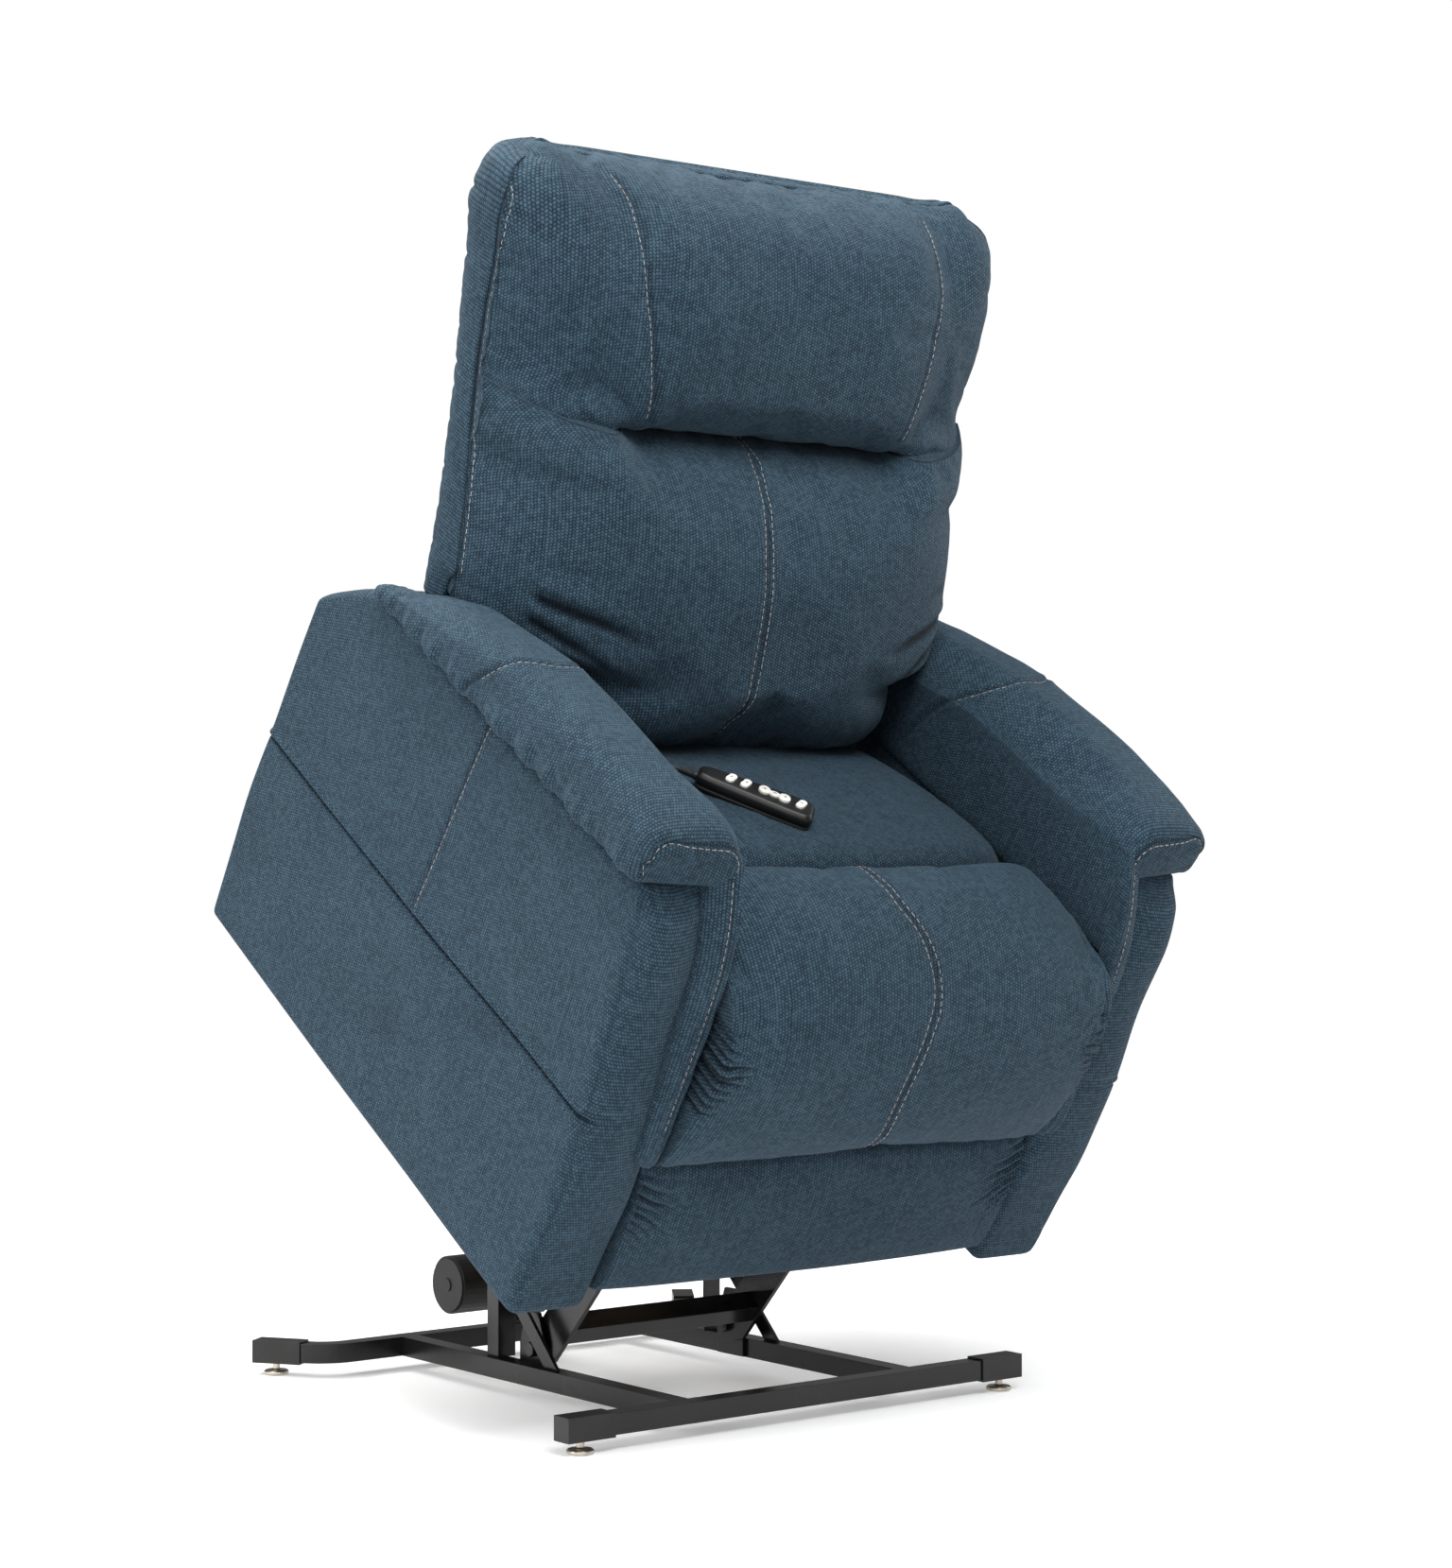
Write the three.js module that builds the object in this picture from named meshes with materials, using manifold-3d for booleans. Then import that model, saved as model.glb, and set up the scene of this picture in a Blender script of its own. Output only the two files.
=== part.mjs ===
// Lift recliner chair, raised (stand-up) rest position.
// Millimetres, +Z up, front of the chair towards -Y, +X towards the left hand of the person in the chair.
// The floor base is drawn in base coordinates (x, y rearward, z up from the floor).
// Everything carried by the lift is drawn in chair coordinates (x, s rearward, b up from the chair's bottom edge)
// inside a group that is tilted by TILT about X.
import * as THREE from "three";
import { mergeVertices } from "three/addons/utils/BufferGeometryUtils.js";
import Module from "manifold-3d";

const wasm = await Module();
wasm.setup();

// ---------------------------------------------------------------- driving dimensions
const TILT = THREE.MathUtils.degToRad(32.72); // forward tilt of the raised chair
const CHAIR_Y = 49.28, CHAIR_Z = 168.13; // front bottom edge of the chair, base coordinates
const ORIGIN_Y = 243.065; // moves the part's origin to the middle of its footprint
const TUBE = 25.4, WALL = 2; // square base tube
const CAP = 30; // square end cap
const TUBE_Z = 30.9; // height of the tube centre line
const SIDE_X = 178.3; // centre of the side tubes
const FRONT_Y = 17.7, REAR_Y = 640; // centre lines of the cross tubes
const CAP_OUT = 362.4, CAP_LEN = 68.5;
const GLIDE_X = 335, GLIDE_REAR = [341.8, 703.6];
const REAR_BEND = THREE.MathUtils.degToRad(55), REAR_R = 60, REAR_CORNER = 299;
const G1 = [358, 60]; // lift arm pivot on the base
const M1 = [150, 24]; // lift arm pivot on the chair (chair coordinates)
const G2 = [425, 170]; // rear link pivot on the post
const M2 = [197, 80]; // rear link pin on the chair (chair coordinates)
const C0 = [640, 62]; // lift actuator clevis pin
const MA = [300, 90]; // lift actuator rod pin on the chair (chair coordinates)
const P1 = [150, 330]; // footrest link pivot on the chair
const LINK = 115; // footrest link length
const BACK = [640, 300]; // backrest hinge
const SIDE_OUT = 425, SIDE_IN = 309; // upholstered side, outer and inner face
const CHAIR_LEN = 837; // length of the side panel
const HANDSET = { x: -95, s: 275, b: 527.2, len: 150, h: 23 };
const HAND_DIR = [0.757, -0.653];

// ---------------------------------------------------------------- materials
const mat = (name, color, roughness, metalness = 0) =>
  Object.assign(new THREE.MeshStandardMaterial({ color, roughness, metalness }), { name });
const FABRIC = mat("fabric", 0x2f4a5e, 0.95);
const LINING = mat("lining", 0x1d2226, 0.95);
const STEEL = mat("black_steel", 0x151517, 0.35, 0.6);
const CAPMAT = mat("cap_plastic", 0x1a1a1b, 0.6);
const CHROME = mat("glide_steel", 0xb9b4aa, 0.25, 1);
const ZINC = mat("zinc", 0x8c8f92, 0.35, 1);
const WOOD = mat("plywood", 0xb08a5a, 0.7);
const PLASTIC = mat("black_plastic", 0x121214, 0.45);
const BUTTON = mat("button", 0xe9e7e2, 0.4);

// ---------------------------------------------------------------- helpers
const V = (x, y, z) => new THREE.Vector3(x, y, z);
const AX_YZ = new THREE.Matrix4().makeBasis(V(0, 1, 0), V(0, 0, 1), V(1, 0, 0));
const AX_XZ = new THREE.Matrix4().makeBasis(V(1, 0, 0), V(0, 0, 1), V(0, -1, 0));
const shape = (pts) => new THREE.Shape(pts.map((p) => new THREE.Vector2(p[0], p[1])));
const extrude = (s, depth, extra = {}) =>
  new THREE.ExtrudeGeometry(s, { depth, bevelEnabled: false, steps: 1, ...extra });

function solid(g) {
  const s = g.index ? g.toNonIndexed() : g.clone();
  s.deleteAttribute("normal");
  s.deleteAttribute("uv");
  const m = mergeVertices(s, 1e-4);
  return new wasm.Manifold(
    new wasm.Mesh({
      numProp: 3,
      vertProperties: new Float32Array(m.attributes.position.array),
      triVerts: new Uint32Array(m.index.array),
    }),
  );
}
function geometry(man) {
  const m = man.getMesh(), n = m.numProp, pos = [];
  for (let i = 0; i < m.numVert; i++)
    pos.push(m.vertProperties[i * n], m.vertProperties[i * n + 1], m.vertProperties[i * n + 2]);
  let g = new THREE.BufferGeometry().setAttribute("position", new THREE.Float32BufferAttribute(pos, 3));
  g.setIndex([...m.triVerts]);
  g = g.toNonIndexed();
  g.computeVertexNormals();
  return g;
}
const join = (...gs) => geometry(gs.map(solid).reduce((a, b) => a.add(b)));
const cut = (g, ...tools) => geometry(tools.map(solid).reduce((a, b) => a.subtract(b), solid(g)));
const common = (a, b) => geometry(solid(a).intersect(solid(b)));

// prism with an outline in (y, z), from x0 to x1; side = -1 mirrors it to the other side
function yz(pts, x0, x1, side = 1) {
  const [a, b] = side < 0 ? [-x1, -x0] : [x0, x1];
  return extrude(shape(pts), b - a).applyMatrix4(AX_YZ).translate(a, 0, 0);
}
const xz = (pts, y0, y1) => extrude(shape(pts), y1 - y0).applyMatrix4(AX_XZ).translate(0, y1, 0);
const xy = (pts, z0, z1) => extrude(shape(pts), z1 - z0).translate(0, 0, z0);
const box = (x0, x1, y0, y1, z0, z1) =>
  new THREE.BoxGeometry(x1 - x0, y1 - y0, z1 - z0).translate((x0 + x1) / 2, (y0 + y1) / 2, (z0 + z1) / 2);
function rod(x0, x1, [y, z], r, side = 1, seg = 20) {
  const [a, b] = side < 0 ? [-x1, -x0] : [x0, x1];
  return new THREE.CylinderGeometry(r, r, b - a, seg).rotateZ(Math.PI / 2).translate((a + b) / 2, y, z);
}
const mirror = (pts) => [...pts, ...pts.map(([x, z]) => [-x, z]).reverse()];
function ring(w, wall) {
  const h = w / 2, i = h - wall;
  const s = shape([[-h, -h], [h, -h], [h, h], [-h, h]]);
  s.holes.push(new THREE.Path([[-i, -i], [-i, i], [i, i], [i, -i]].map((p) => new THREE.Vector2(...p))));
  return s;
}
// A route through listed points; each listed point is one station of the sweep.
class Route extends THREE.Curve {
  constructor(pts) {
    super();
    this.p = pts;
  }
  getPoint(t, target = V(0, 0, 0)) {
    const f = t * (this.p.length - 1), i = Math.min(Math.floor(f + 1e-9), this.p.length - 2);
    return target.copy(this.p[i]).lerp(this.p[i + 1], f - i);
  }
  getPointAt(u, target) {
    return this.getPoint(u, target);
  }
  getTangentAt(u, target = V(0, 0, 0)) {
    const i = Math.round(u * (this.p.length - 1)), n = this.p.length - 1;
    const a = this.p[Math.max(i - 1, 0)], b = this.p[Math.min(i + 1, n)], c = this.p[i];
    const d1 = c.clone().sub(a), d2 = b.clone().sub(c);
    if (d1.lengthSq()) d1.normalize();
    if (d2.lengthSq()) d2.normalize();
    return target.copy(d1).add(d2).normalize();
  }
}
const sweep = (s, pts) =>
  new THREE.ExtrudeGeometry(s, { steps: pts.length - 1, bevelEnabled: false, extrudePath: new Route(pts) });
const circle = (r, n) =>
  shape(Array.from({ length: n }, (_, i) => [r * Math.cos((2 * Math.PI * i) / n), r * Math.sin((2 * Math.PI * i) / n)]));
// flat bar with round ends between two points of the (y, z) plane
function bar(a, b, r, x0, x1, side) {
  const d = [b[0] - a[0], b[1] - a[1]], ang = Math.atan2(d[1], d[0]), pts = [];
  for (let i = 0; i <= 6; i++) pts.push([b[0] + r * Math.cos(ang - Math.PI / 2 + (i * Math.PI) / 6), b[1] + r * Math.sin(ang - Math.PI / 2 + (i * Math.PI) / 6)]);
  for (let i = 0; i <= 6; i++) pts.push([a[0] + r * Math.cos(ang + Math.PI / 2 + (i * Math.PI) / 6), a[1] + r * Math.sin(ang + Math.PI / 2 + (i * Math.PI) / 6)]);
  return yz(pts, x0, x1, side);
}
// chair coordinates (s, b) to base coordinates (y, z)
const world = ([s, b]) => [
  CHAIR_Y + s * Math.cos(TILT) - b * Math.sin(TILT),
  CHAIR_Z + s * Math.sin(TILT) + b * Math.cos(TILT),
];

const root = new THREE.Group();
const frame = new THREE.Group();
frame.position.set(0, -ORIGIN_Y, 0);
root.add(frame);
const chair = new THREE.Group();
chair.position.set(0, CHAIR_Y, CHAIR_Z);
chair.rotation.x = TILT;
frame.add(chair);
function add(group, name, g, material) {
  const m = new THREE.Mesh(g, material);
  m.name = name;
  group.add(m);
  return m;
}

// ---------------------------------------------------------------- floor base
const zt = TUBE_Z - TUBE / 2, zb = TUBE_Z + TUBE / 2;
add(frame, "front_cross_tube", extrude(ring(TUBE, WALL), 2 * (CAP_OUT - 6)).applyMatrix4(AX_YZ).translate(-(CAP_OUT - 6), FRONT_Y, TUBE_Z), STEEL);
for (const [tag, k] of [["left", 1], ["right", -1]])
  add(frame, `side_tube_${tag}`, extrude(ring(TUBE, WALL), REAR_Y - FRONT_Y - TUBE - 0.6).applyMatrix4(AX_XZ).translate(k * SIDE_X, REAR_Y - TUBE / 2 - 0.3, TUBE_Z), STEEL);

// rear tube: straight, then both ends bent rearward
const tan = REAR_R * Math.tan(REAR_BEND / 2), dir = [Math.cos(REAR_BEND), Math.sin(REAR_BEND)];
const half = [];
for (let i = 0; i <= 6; i++) {
  const a = (REAR_BEND * i) / 6;
  half.push([REAR_CORNER - tan + REAR_R * Math.sin(a), REAR_Y + REAR_R * (1 - Math.cos(a))]);
}
const capStart = [REAR_CORNER + dir[0] * 36, REAR_Y + dir[1] * 36];
half.push([capStart[0] + dir[0] * 62, capStart[1] + dir[1] * 62]);
const rearPts = [...half.map(([x, y]) => V(-x, y, TUBE_Z)).reverse(), ...half.map(([x, y]) => V(x, y, TUBE_Z))];
add(frame, "rear_cross_tube", sweep(ring(TUBE, WALL), rearPts), STEEL);

// end caps: a blind square sleeve, open towards the tube
const sleeve = cut(
  new THREE.BoxGeometry(CAP_LEN, CAP, CAP).translate(CAP_LEN / 2, 0, 0),
  new THREE.BoxGeometry(CAP_LEN, TUBE + 0.6, TUBE + 0.6).translate(CAP_LEN / 2 - 4.5, 0, 0),
);
for (const [tag, k] of [["left", 1], ["right", -1]]) {
  const f = add(frame, `end_cap_front_${tag}`, sleeve.clone(), CAPMAT);
  f.rotation.z = k > 0 ? 0 : Math.PI;
  f.position.set(k * (CAP_OUT - CAP_LEN), FRONT_Y, TUBE_Z);
  const r = add(frame, `end_cap_rear_${tag}`, sleeve.clone(), CAPMAT);
  r.rotation.z = k > 0 ? REAR_BEND : Math.PI - REAR_BEND;
  r.position.set(k * capStart[0], capStart[1], TUBE_Z);
}
// levelling glides
const glide = new THREE.LatheGeometry(
  [[0, 0], [14.5, 0], [16.5, 1.2], [16.5, 4.2], [14.5, 5.8], [7, 6.6], [5, 7.6], [5, 15.5], [0, 15.5]].map((p) => new THREE.Vector2(...p)),
  24,
).rotateX(Math.PI / 2);
for (const [tag, x, y] of [
  ["front_left", GLIDE_X, FRONT_Y], ["front_right", -GLIDE_X, FRONT_Y],
  ["rear_left", GLIDE_REAR[0], GLIDE_REAR[1]], ["rear_right", -GLIDE_REAR[0], GLIDE_REAR[1]],
])
  add(frame, `glide_${tag}`, glide.clone(), CHROME).position.set(x, y, 0);

// posts, braces and pivot brackets
const M1w = world(M1), M2w = world(M2), MAw = world(MA);
for (const [tag, k] of [["left", 1], ["right", -1]]) {
  const ang = [[156, 411], [183, 411], [183, 436], [180, 436], [180, 414], [156, 414]].map(([x, y]) => [k * x, y]);
  add(frame, `post_${tag}`, cut(xy(k > 0 ? ang : ang.reverse(), zb + 0.3, 190), rod(178, 185, G2, 5.6, k)), STEEL);
  add(frame, `brace_${tag}`, yz([[280, zb + 0.3], [308, zb + 0.3], [410.6, 146], [410.6, 174]], 177.5, 182.5, k), STEEL);
  add(frame, `pivot_bracket_${tag}`, join(
    yz([[333, 19], [387, 19], [387, 70], [372, 108], [346, 108], [333, 70]], 160.3, 165.3, k),
    rod(143.5, 172, G1, 5, k), rod(164.9, 172, G1, 10, k, 6), rod(144.5, 151.4, G1, 9.5, k, 6),
  ), STEEL);
}
add(frame, "actuator_clevis", join(
  box(-16, 16, 628, 652, zb + 0.3, 48.5),
  yz([[628, 45], [652, 45], [652, 66], [646, 75], [634, 75], [628, 66]], 11, 15),
  yz([[628, 45], [652, 45], [652, 66], [646, 75], [634, 75], [628, 66]], -15, -11),
  rod(-18, 18, C0, 5),
), STEEL);

// ---------------------------------------------------------------- lift arms
const len1 = Math.hypot(M1w[0] - G1[0], M1w[1] - G1[1]);
const u1 = [(M1w[0] - G1[0]) / len1, (M1w[1] - G1[1]) / len1], n1 = [-u1[1], u1[0]];
const onArm = (t, s) => [G1[0] + u1[0] * t + n1[0] * s, G1[1] + u1[1] * t + n1[1] * s];
const armPts = [[-20, -8], [-20, 10], [-8, 22], [14, 35], [215, 35], [272, 24], [300, 12], [304, -6], [294, -17], [14, -20], [-10, -18]].map(([t, s]) => onArm(t, s));
for (const [tag, k] of [["left", 1], ["right", -1]])
  add(frame, `lift_arm_${tag}`, cut(join(
    yz(armPts, 152, 158.3, k),
    rod(146, 181, M1w, 5, k), rod(146, 152.4, M1w, 9, k, 6), rod(158, 170.6, M1w, 9, k), rod(176.6, 181, M1w, 9, k, 6),
  ), rod(150, 160, G1, 5.5, k)), STEEL);
const TT = [307, 91];
add(frame, "lift_torque_tube", extrude(ring(28, 3), 303).applyMatrix4(AX_YZ).rotateX(Math.atan2(u1[1], u1[0])).translate(-151.5, TT[0], TT[1]), STEEL);

// rear links
for (const [tag, k] of [["left", 1], ["right", -1]])
  add(frame, `rear_link_${tag}`, join(
    bar(G2, M2w, 11, 184, 189.3, k),
    rod(173.5, 192, G2, 5, k), rod(173.5, 179.5, G2, 8, k, 12), rod(189, 192.5, G2, 8, k, 6),
    rod(164, 192, M2w, 5, k), rod(163.5, 167.5, M2w, 16.5, k, 16), rod(189, 192.5, M2w, 8, k, 6),
  ), STEEL);

// ---------------------------------------------------------------- lift actuator
const aL = Math.hypot(MAw[0] - C0[0], MAw[1] - C0[1]);
const aAng = Math.atan2(MAw[1] - C0[1], MAw[0] - C0[0]);
// drawn with its axis along +Y from the clevis pin, then turned into place
const place = (g) => g.rotateX(aAng).translate(0, C0[0], C0[1]);
const alongY = (y0, y1, r, seg = 20) => new THREE.CylinderGeometry(r, r, y1 - y0, seg).translate(0, (y0 + y1) / 2, 0);
add(frame, "lift_actuator_body", place(cut(join(
  rod(-8, 8, [0, 0], 12, 1, 20), box(-8, 8, 0, 32, -11, 11), box(-26, 26, 24, 112, -25, 25), alongY(108, 395, 20, 24), alongY(380, 400, 22, 24),
), rod(-12, 12, [0, 0], 5.6), alongY(72, 410, 11, 20))), PLASTIC);
add(frame, "lift_motor", place(join(
  rod(-148, -26.4, [80, 0], 39, 1, 32), rod(-150.5, -147.5, [80, 0], 36, 1, 32), rod(-152, -150, [80, 0], 9, 1, 16),
)), PLASTIC);
add(frame, "lift_actuator_rod", place(join(
  alongY(168, aL - 8, 10.2, 20), box(-10, 10, aL - 14, aL + 13, -13, 13), rod(-17, 17, [aL, 0], 5.5),
)), ZINC);

// ---------------------------------------------------------------- chair: steel under the seat
const railPts = [
  [132, 22], [137, 11], [150, 6], [164, 11], [172, 26], [214, 58], [223, 78], [218, 104], [206, 150], [700, 150], [700, 186],
  [656, 186], [656, 300], [651, 312], [640, 317], [629, 312], [624, 300], [624, 186], [166, 186], [164, 332], [159, 341], [150, 344.5], [141, 341], [136, 332], [132, 186],
];
for (const [tag, k] of [["left", 1], ["right", -1]])
  add(chair, `seat_rail_${tag}`, cut(yz(railPts, 171, 176, k),
    rod(169, 178, M1, 5.6, k), rod(169, 178, M2, 13, k, 24), rod(169, 178, P1, 4.6, k), rod(169, 178, BACK, 6.6, k)), STEEL);
add(chair, "actuator_cross_tube", join(
  extrude(ring(TUBE, WALL), 341.2).applyMatrix4(AX_YZ).translate(-170.6, 300, 168),
  yz([[286, 156], [314, 156], [314, 84], [308, 76], [292, 76], [286, 84]], 19.5, 23.5),
  yz([[286, 156], [314, 156], [314, 84], [308, 76], [292, 76], [286, 84]], -23.5, -19.5),
), STEEL);
add(chair, "seat_deck", xy([[-285, 172], [285, 172], [285, 400], [308.6, 400], [308.6, 618], [-308.6, 618], [-308.6, 400], [-285, 400]], 186.5, 204), WOOD);
add(chair, "control_box", xy([[-303, 332], [-299, 328], [-229, 328], [-225, 332], [-225, 446], [-229, 450], [-299, 450], [-303, 446]], 108, 150), PLASTIC);

// footrest actuator
add(chair, "footrest_actuator_body", cut(join(
  alongY(300, 562, 18, 24).translate(80, 0, 128), box(56, 108, 556, 616, 106, 148), alongY(556, 612, 22, 24).translate(122, 0, 127),
), alongY(290, 425, 9.8, 16).translate(80, 0, 128)), PLASTIC);
add(chair, "footrest_actuator_rod", join(
  alongY(172, 414, 9, 16).translate(80, 0, 128), box(72, 88, 158, 180, 118, 138),
), ZINC);

// ---------------------------------------------------------------- upholstered body
for (const [tag, k] of [["left", 1], ["right", -1]]) {
  add(chair, `arm_${tag}`, yz([[-8, 0], [825, 0], [837, 12], [828, 250], [815, 493], [795, 518], [700, 572], [46, 572], [16, 434], [-5, 286], [-13, 190]], SIDE_IN, SIDE_OUT, k), FABRIC);
  const plan = [[325, 34], [333, 26], [429, 26], [437, 34], [437, 682], [431, 690], [404, 690], [398, 684], [398, 612], [386, 588], [325, 588]].map(([x, y]) => [k * x, y]);
  const pad = xy(k > 0 ? plan : plan.reverse(), 572.4, 656);
  const roof = yz([[-30, 560], [720, 560], [720, 598], [690, 604], [560, 640], [420, 655], [130, 656], [90, 654], [50, 641], [31, 622], [26, 604], [30, 586], [44, 572.4]], 300, 460, k);
  const corner = [[318, 560], [445, 560], [445, 612], [430, 638], [405, 652], [380, 657], [350, 652], [330, 636], [318, 610]].map(([x, z]) => [k * x, z]);
  add(chair, `arm_pad_${tag}`, common(common(pad, roof), xz(k > 0 ? corner : corner.reverse(), -40, 720)), FABRIC);
}
add(chair, "seat_cushion", common(
  xz([[-282, 204.5], [282, 204.5], [282, 468], [268, 488], [225, 506], [150, 521], [60, 526], [-60, 526], [-150, 521], [-225, 506], [-268, 488], [-282, 468]], 140, 570),
  yz([[168, 204.5], [560, 204.5], [560, 490], [470, 506], [385, 522], [300, 526.5], [200, 526.5], [162, 516], [147, 498], [147, 347], [168, 347]], -290, 290),
), FABRIC);
add(chair, "footrest_roll", yz([
  [144, 497], [130, 511], [95, 519], [55, 517], [10, 502], [-25, 476], [-43, 440], [-50, 395], [-48, 330], [-36, 270], [-13, 217], [35.4, 217], [35.4, 458], [50, 468], [144, 468],
], -299, 299), FABRIC);
add(chair, "footrest_pad", yz([[-9, 19], [28, 19], [35.4, 26], [35.4, 213], [-10, 213], [-16, 180], [-18, 110], [-15, 50]], -305, 305), FABRIC);
const bracket = [[50, 120], [50, 212], [136, 334], [142, 341.5], [150, 344], [159, 340], [163, 331], [159, 320], [82, 160], [62, 120]];
add(chair, "footrest_frame", cut(join(
  box(-290, 290, 36, 52, 25, 455), yz(bracket, 191, 196), yz(bracket, -196, -191),
), rod(189, 198, P1, 4.6), rod(189, 198, P1, 4.6, -1)), WOOD);
const J = [P1[0], P1[1] - LINK];
for (const [tag, k] of [["left", 1], ["right", -1]]) {
  add(chair, `footrest_link_upper_${tag}`, join(
    bar(P1, J, 10, 177, 181.2, k), rod(165.5, 181, P1, 4, k), rod(165.5, 170.4, P1, 8, k, 12), rod(177, 189.8, J, 4, k), rod(187, 189.8, J, 7, k, 12),
  ), STEEL);
  add(chair, `footrest_link_lower_${tag}`, cut(join(
    bar(P1, J, 10, 182.2, 186.4, k), rod(182.2, 200, P1, 4, k), rod(196.8, 200, P1, 7, k, 12),
  ), rod(181, 188, J, 4.6, k)), STEEL);
}
add(chair, "rear_apron", box(-308.6, 308.6, 815, 831, 12, 330), FABRIC);

// ---------------------------------------------------------------- backrest
const REAR = [[628, 345], [645, 450], [672, 601], [702, 711], [749, 842], [795, 947], [834, 1045], [833, 1085]];
const at = (b) => {
  for (let i = 0; i < REAR.length - 1; i++)
    if (b <= REAR[i + 1][1]) return REAR[i][0] + ((REAR[i + 1][0] - REAR[i][0]) * (b - REAR[i][1])) / (REAR[i + 1][1] - REAR[i][1]);
  return REAR[REAR.length - 1][0];
};
const band = (b0, b1, o0, o1) => {
  const bs = [b0, ...REAR.map((p) => p[1]).filter((b) => b > b0 + 1 && b < b1 - 1), b1];
  return [...bs.map((b) => [at(b) - o1, b]), ...bs.map((b) => [at(b) - o0, b]).reverse()];
};
add(chair, "back_shell", join(yz(band(345, 620, 0, 16), -300, 300), yz([...band(612, 1085, 0, 16)], -385, 385), yz([[817, 1080], [833, 1080], [815, 1118], [785, 1134], [770, 1134], [770, 1126], [783, 1125]], -370, 370)), FABRIC);
const backArm = [[640, 284], [652, 290], [656, 301], [648, 316], [606, 344], [624, 450], [641, 528], [617, 528], [600, 512], [582, 420], [602, 312], [622, 290]];
add(chair, "back_frame", join(
  yz(band(520, 640, 17, 43), -285, 285), yz(band(616, 1075, 17, 43), -370, 370),
  ...[1, -1].flatMap((k) => [yz(backArm, 178, 183, k), rod(165.2, 190, BACK, 6, k), rod(165.2, 170.4, BACK, 10, k, 12), rod(182, 190, BACK, 10, k, 6)]),
), STEEL);
add(chair, "lumbar_cushion", join(
  yz([[400, 529], [384, 560], [386, 610], [408, 680], [452, 752], [520, 815], [585, 850], [640, 864], [at(864) - 43.6, 864], [at(842) - 43.6, 842], [at(711) - 43.6, 711], [at(601) - 43.6, 601], [at(529) - 43.6, 529]], -296, 296),
  yz([[592, 613], [606, 660], [642, 750], [688, 864], [at(864) - 43.6, 864], [at(842) - 43.6, 842], [at(711) - 43.6, 711], [at(613) - 43.6, 613]], -385, 385),
), FABRIC);
add(chair, "head_pillow", join(
  yz([[690, 868], [630, 874], [596, 910], [592, 960], [606, 1020], [640, 1078], [690, 1112], [750, 1126], [765, 1124], [at(1085) - 43.6, 1088], [at(1045) - 43.6, 1045], [at(947) - 43.6, 947], [at(868) - 43.6, 868]], -340, 340),
  yz([[692, 868], [672, 920], [690, 990], [715, 1050], [735, 1096], [760, 1118], [at(1085) - 43.6, 1088], [at(1045) - 43.6, 1045], [at(947) - 43.6, 947], [at(868) - 43.6, 868]], -385, 385),
), FABRIC);

// ---------------------------------------------------------------- handset, its buttons and its lead
const hAng = Math.atan2(HAND_DIR[1], HAND_DIR[0]);
const inHand = (g) => g.rotateZ(hAng).translate(HANDSET.x, HANDSET.s, 0);
const handPts = [[-75, -13], [-60, -17], [40, -25], [66, -25], [75, -18], [75, 18], [66, 25], [40, 25], [-60, 17], [-75, 13]];
const top = HANDSET.b + HANDSET.h;
const buttons = [[-35, 0, 4.6], [-16, 0, 4.6], [9, 0, 4.8], [21, 0, 4.4], [33, 0, 4.8], [56, 0, 4.6]];
add(chair, "handset_body", inHand(cut(
  xy(handPts, HANDSET.b, top),
  ...buttons.map(([x, y, r]) => new THREE.CylinderGeometry(r + 0.5, r + 0.5, 8, 16).rotateX(Math.PI / 2).translate(x, y, top)),
)), PLASTIC);
["back_up", "back_down", "feet_up", "feet_down", "stand", "sit"].forEach((name, i) => {
  const [x, y, r] = buttons[i];
  add(chair, `button_${name}`, inHand(new THREE.CylinderGeometry(r * 0.85, r, 5.4, 16).rotateX(Math.PI / 2).translate(x, y, top + 0.2)), BUTTON);
});
const hb = HANDSET.b + 11;
const relief = new THREE.LatheGeometry([[0, 0], [5.5, 0], [5.5, 6], [4, 24], [0, 24]].map((p) => new THREE.Vector2(...p)), 12)
  .rotateZ(Math.PI / 2).translate(-75.3, 0, hb);
add(chair, "handset_strain_relief", inHand(relief), PLASTIC);
const lead = new THREE.CatmullRomCurve3([
  V(-170.6, 340.2, hb), V(-182, 349.5, hb - 1), V(-200, 360, 530), V(-225, 368, 519), V(-252, 372, 508), V(-275, 374, 496), V(-290, 375, 476), V(-295.5, 375, 448),
  V(-296, 375, 400), V(-296, 375, 330), V(-296, 375, 260), V(-296, 375, 200), V(-294, 376, 175), V(-292, 377, 150.4),
], false, "centripetal");
add(chair, "handset_lead", sweep(circle(3, 8), lead.getSpacedPoints(44)), PLASTIC);

export default root;
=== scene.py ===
import bpy
import bmesh
import math
import numpy as np
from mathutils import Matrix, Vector
from mathutils.bvhtree import BVHTree

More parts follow.
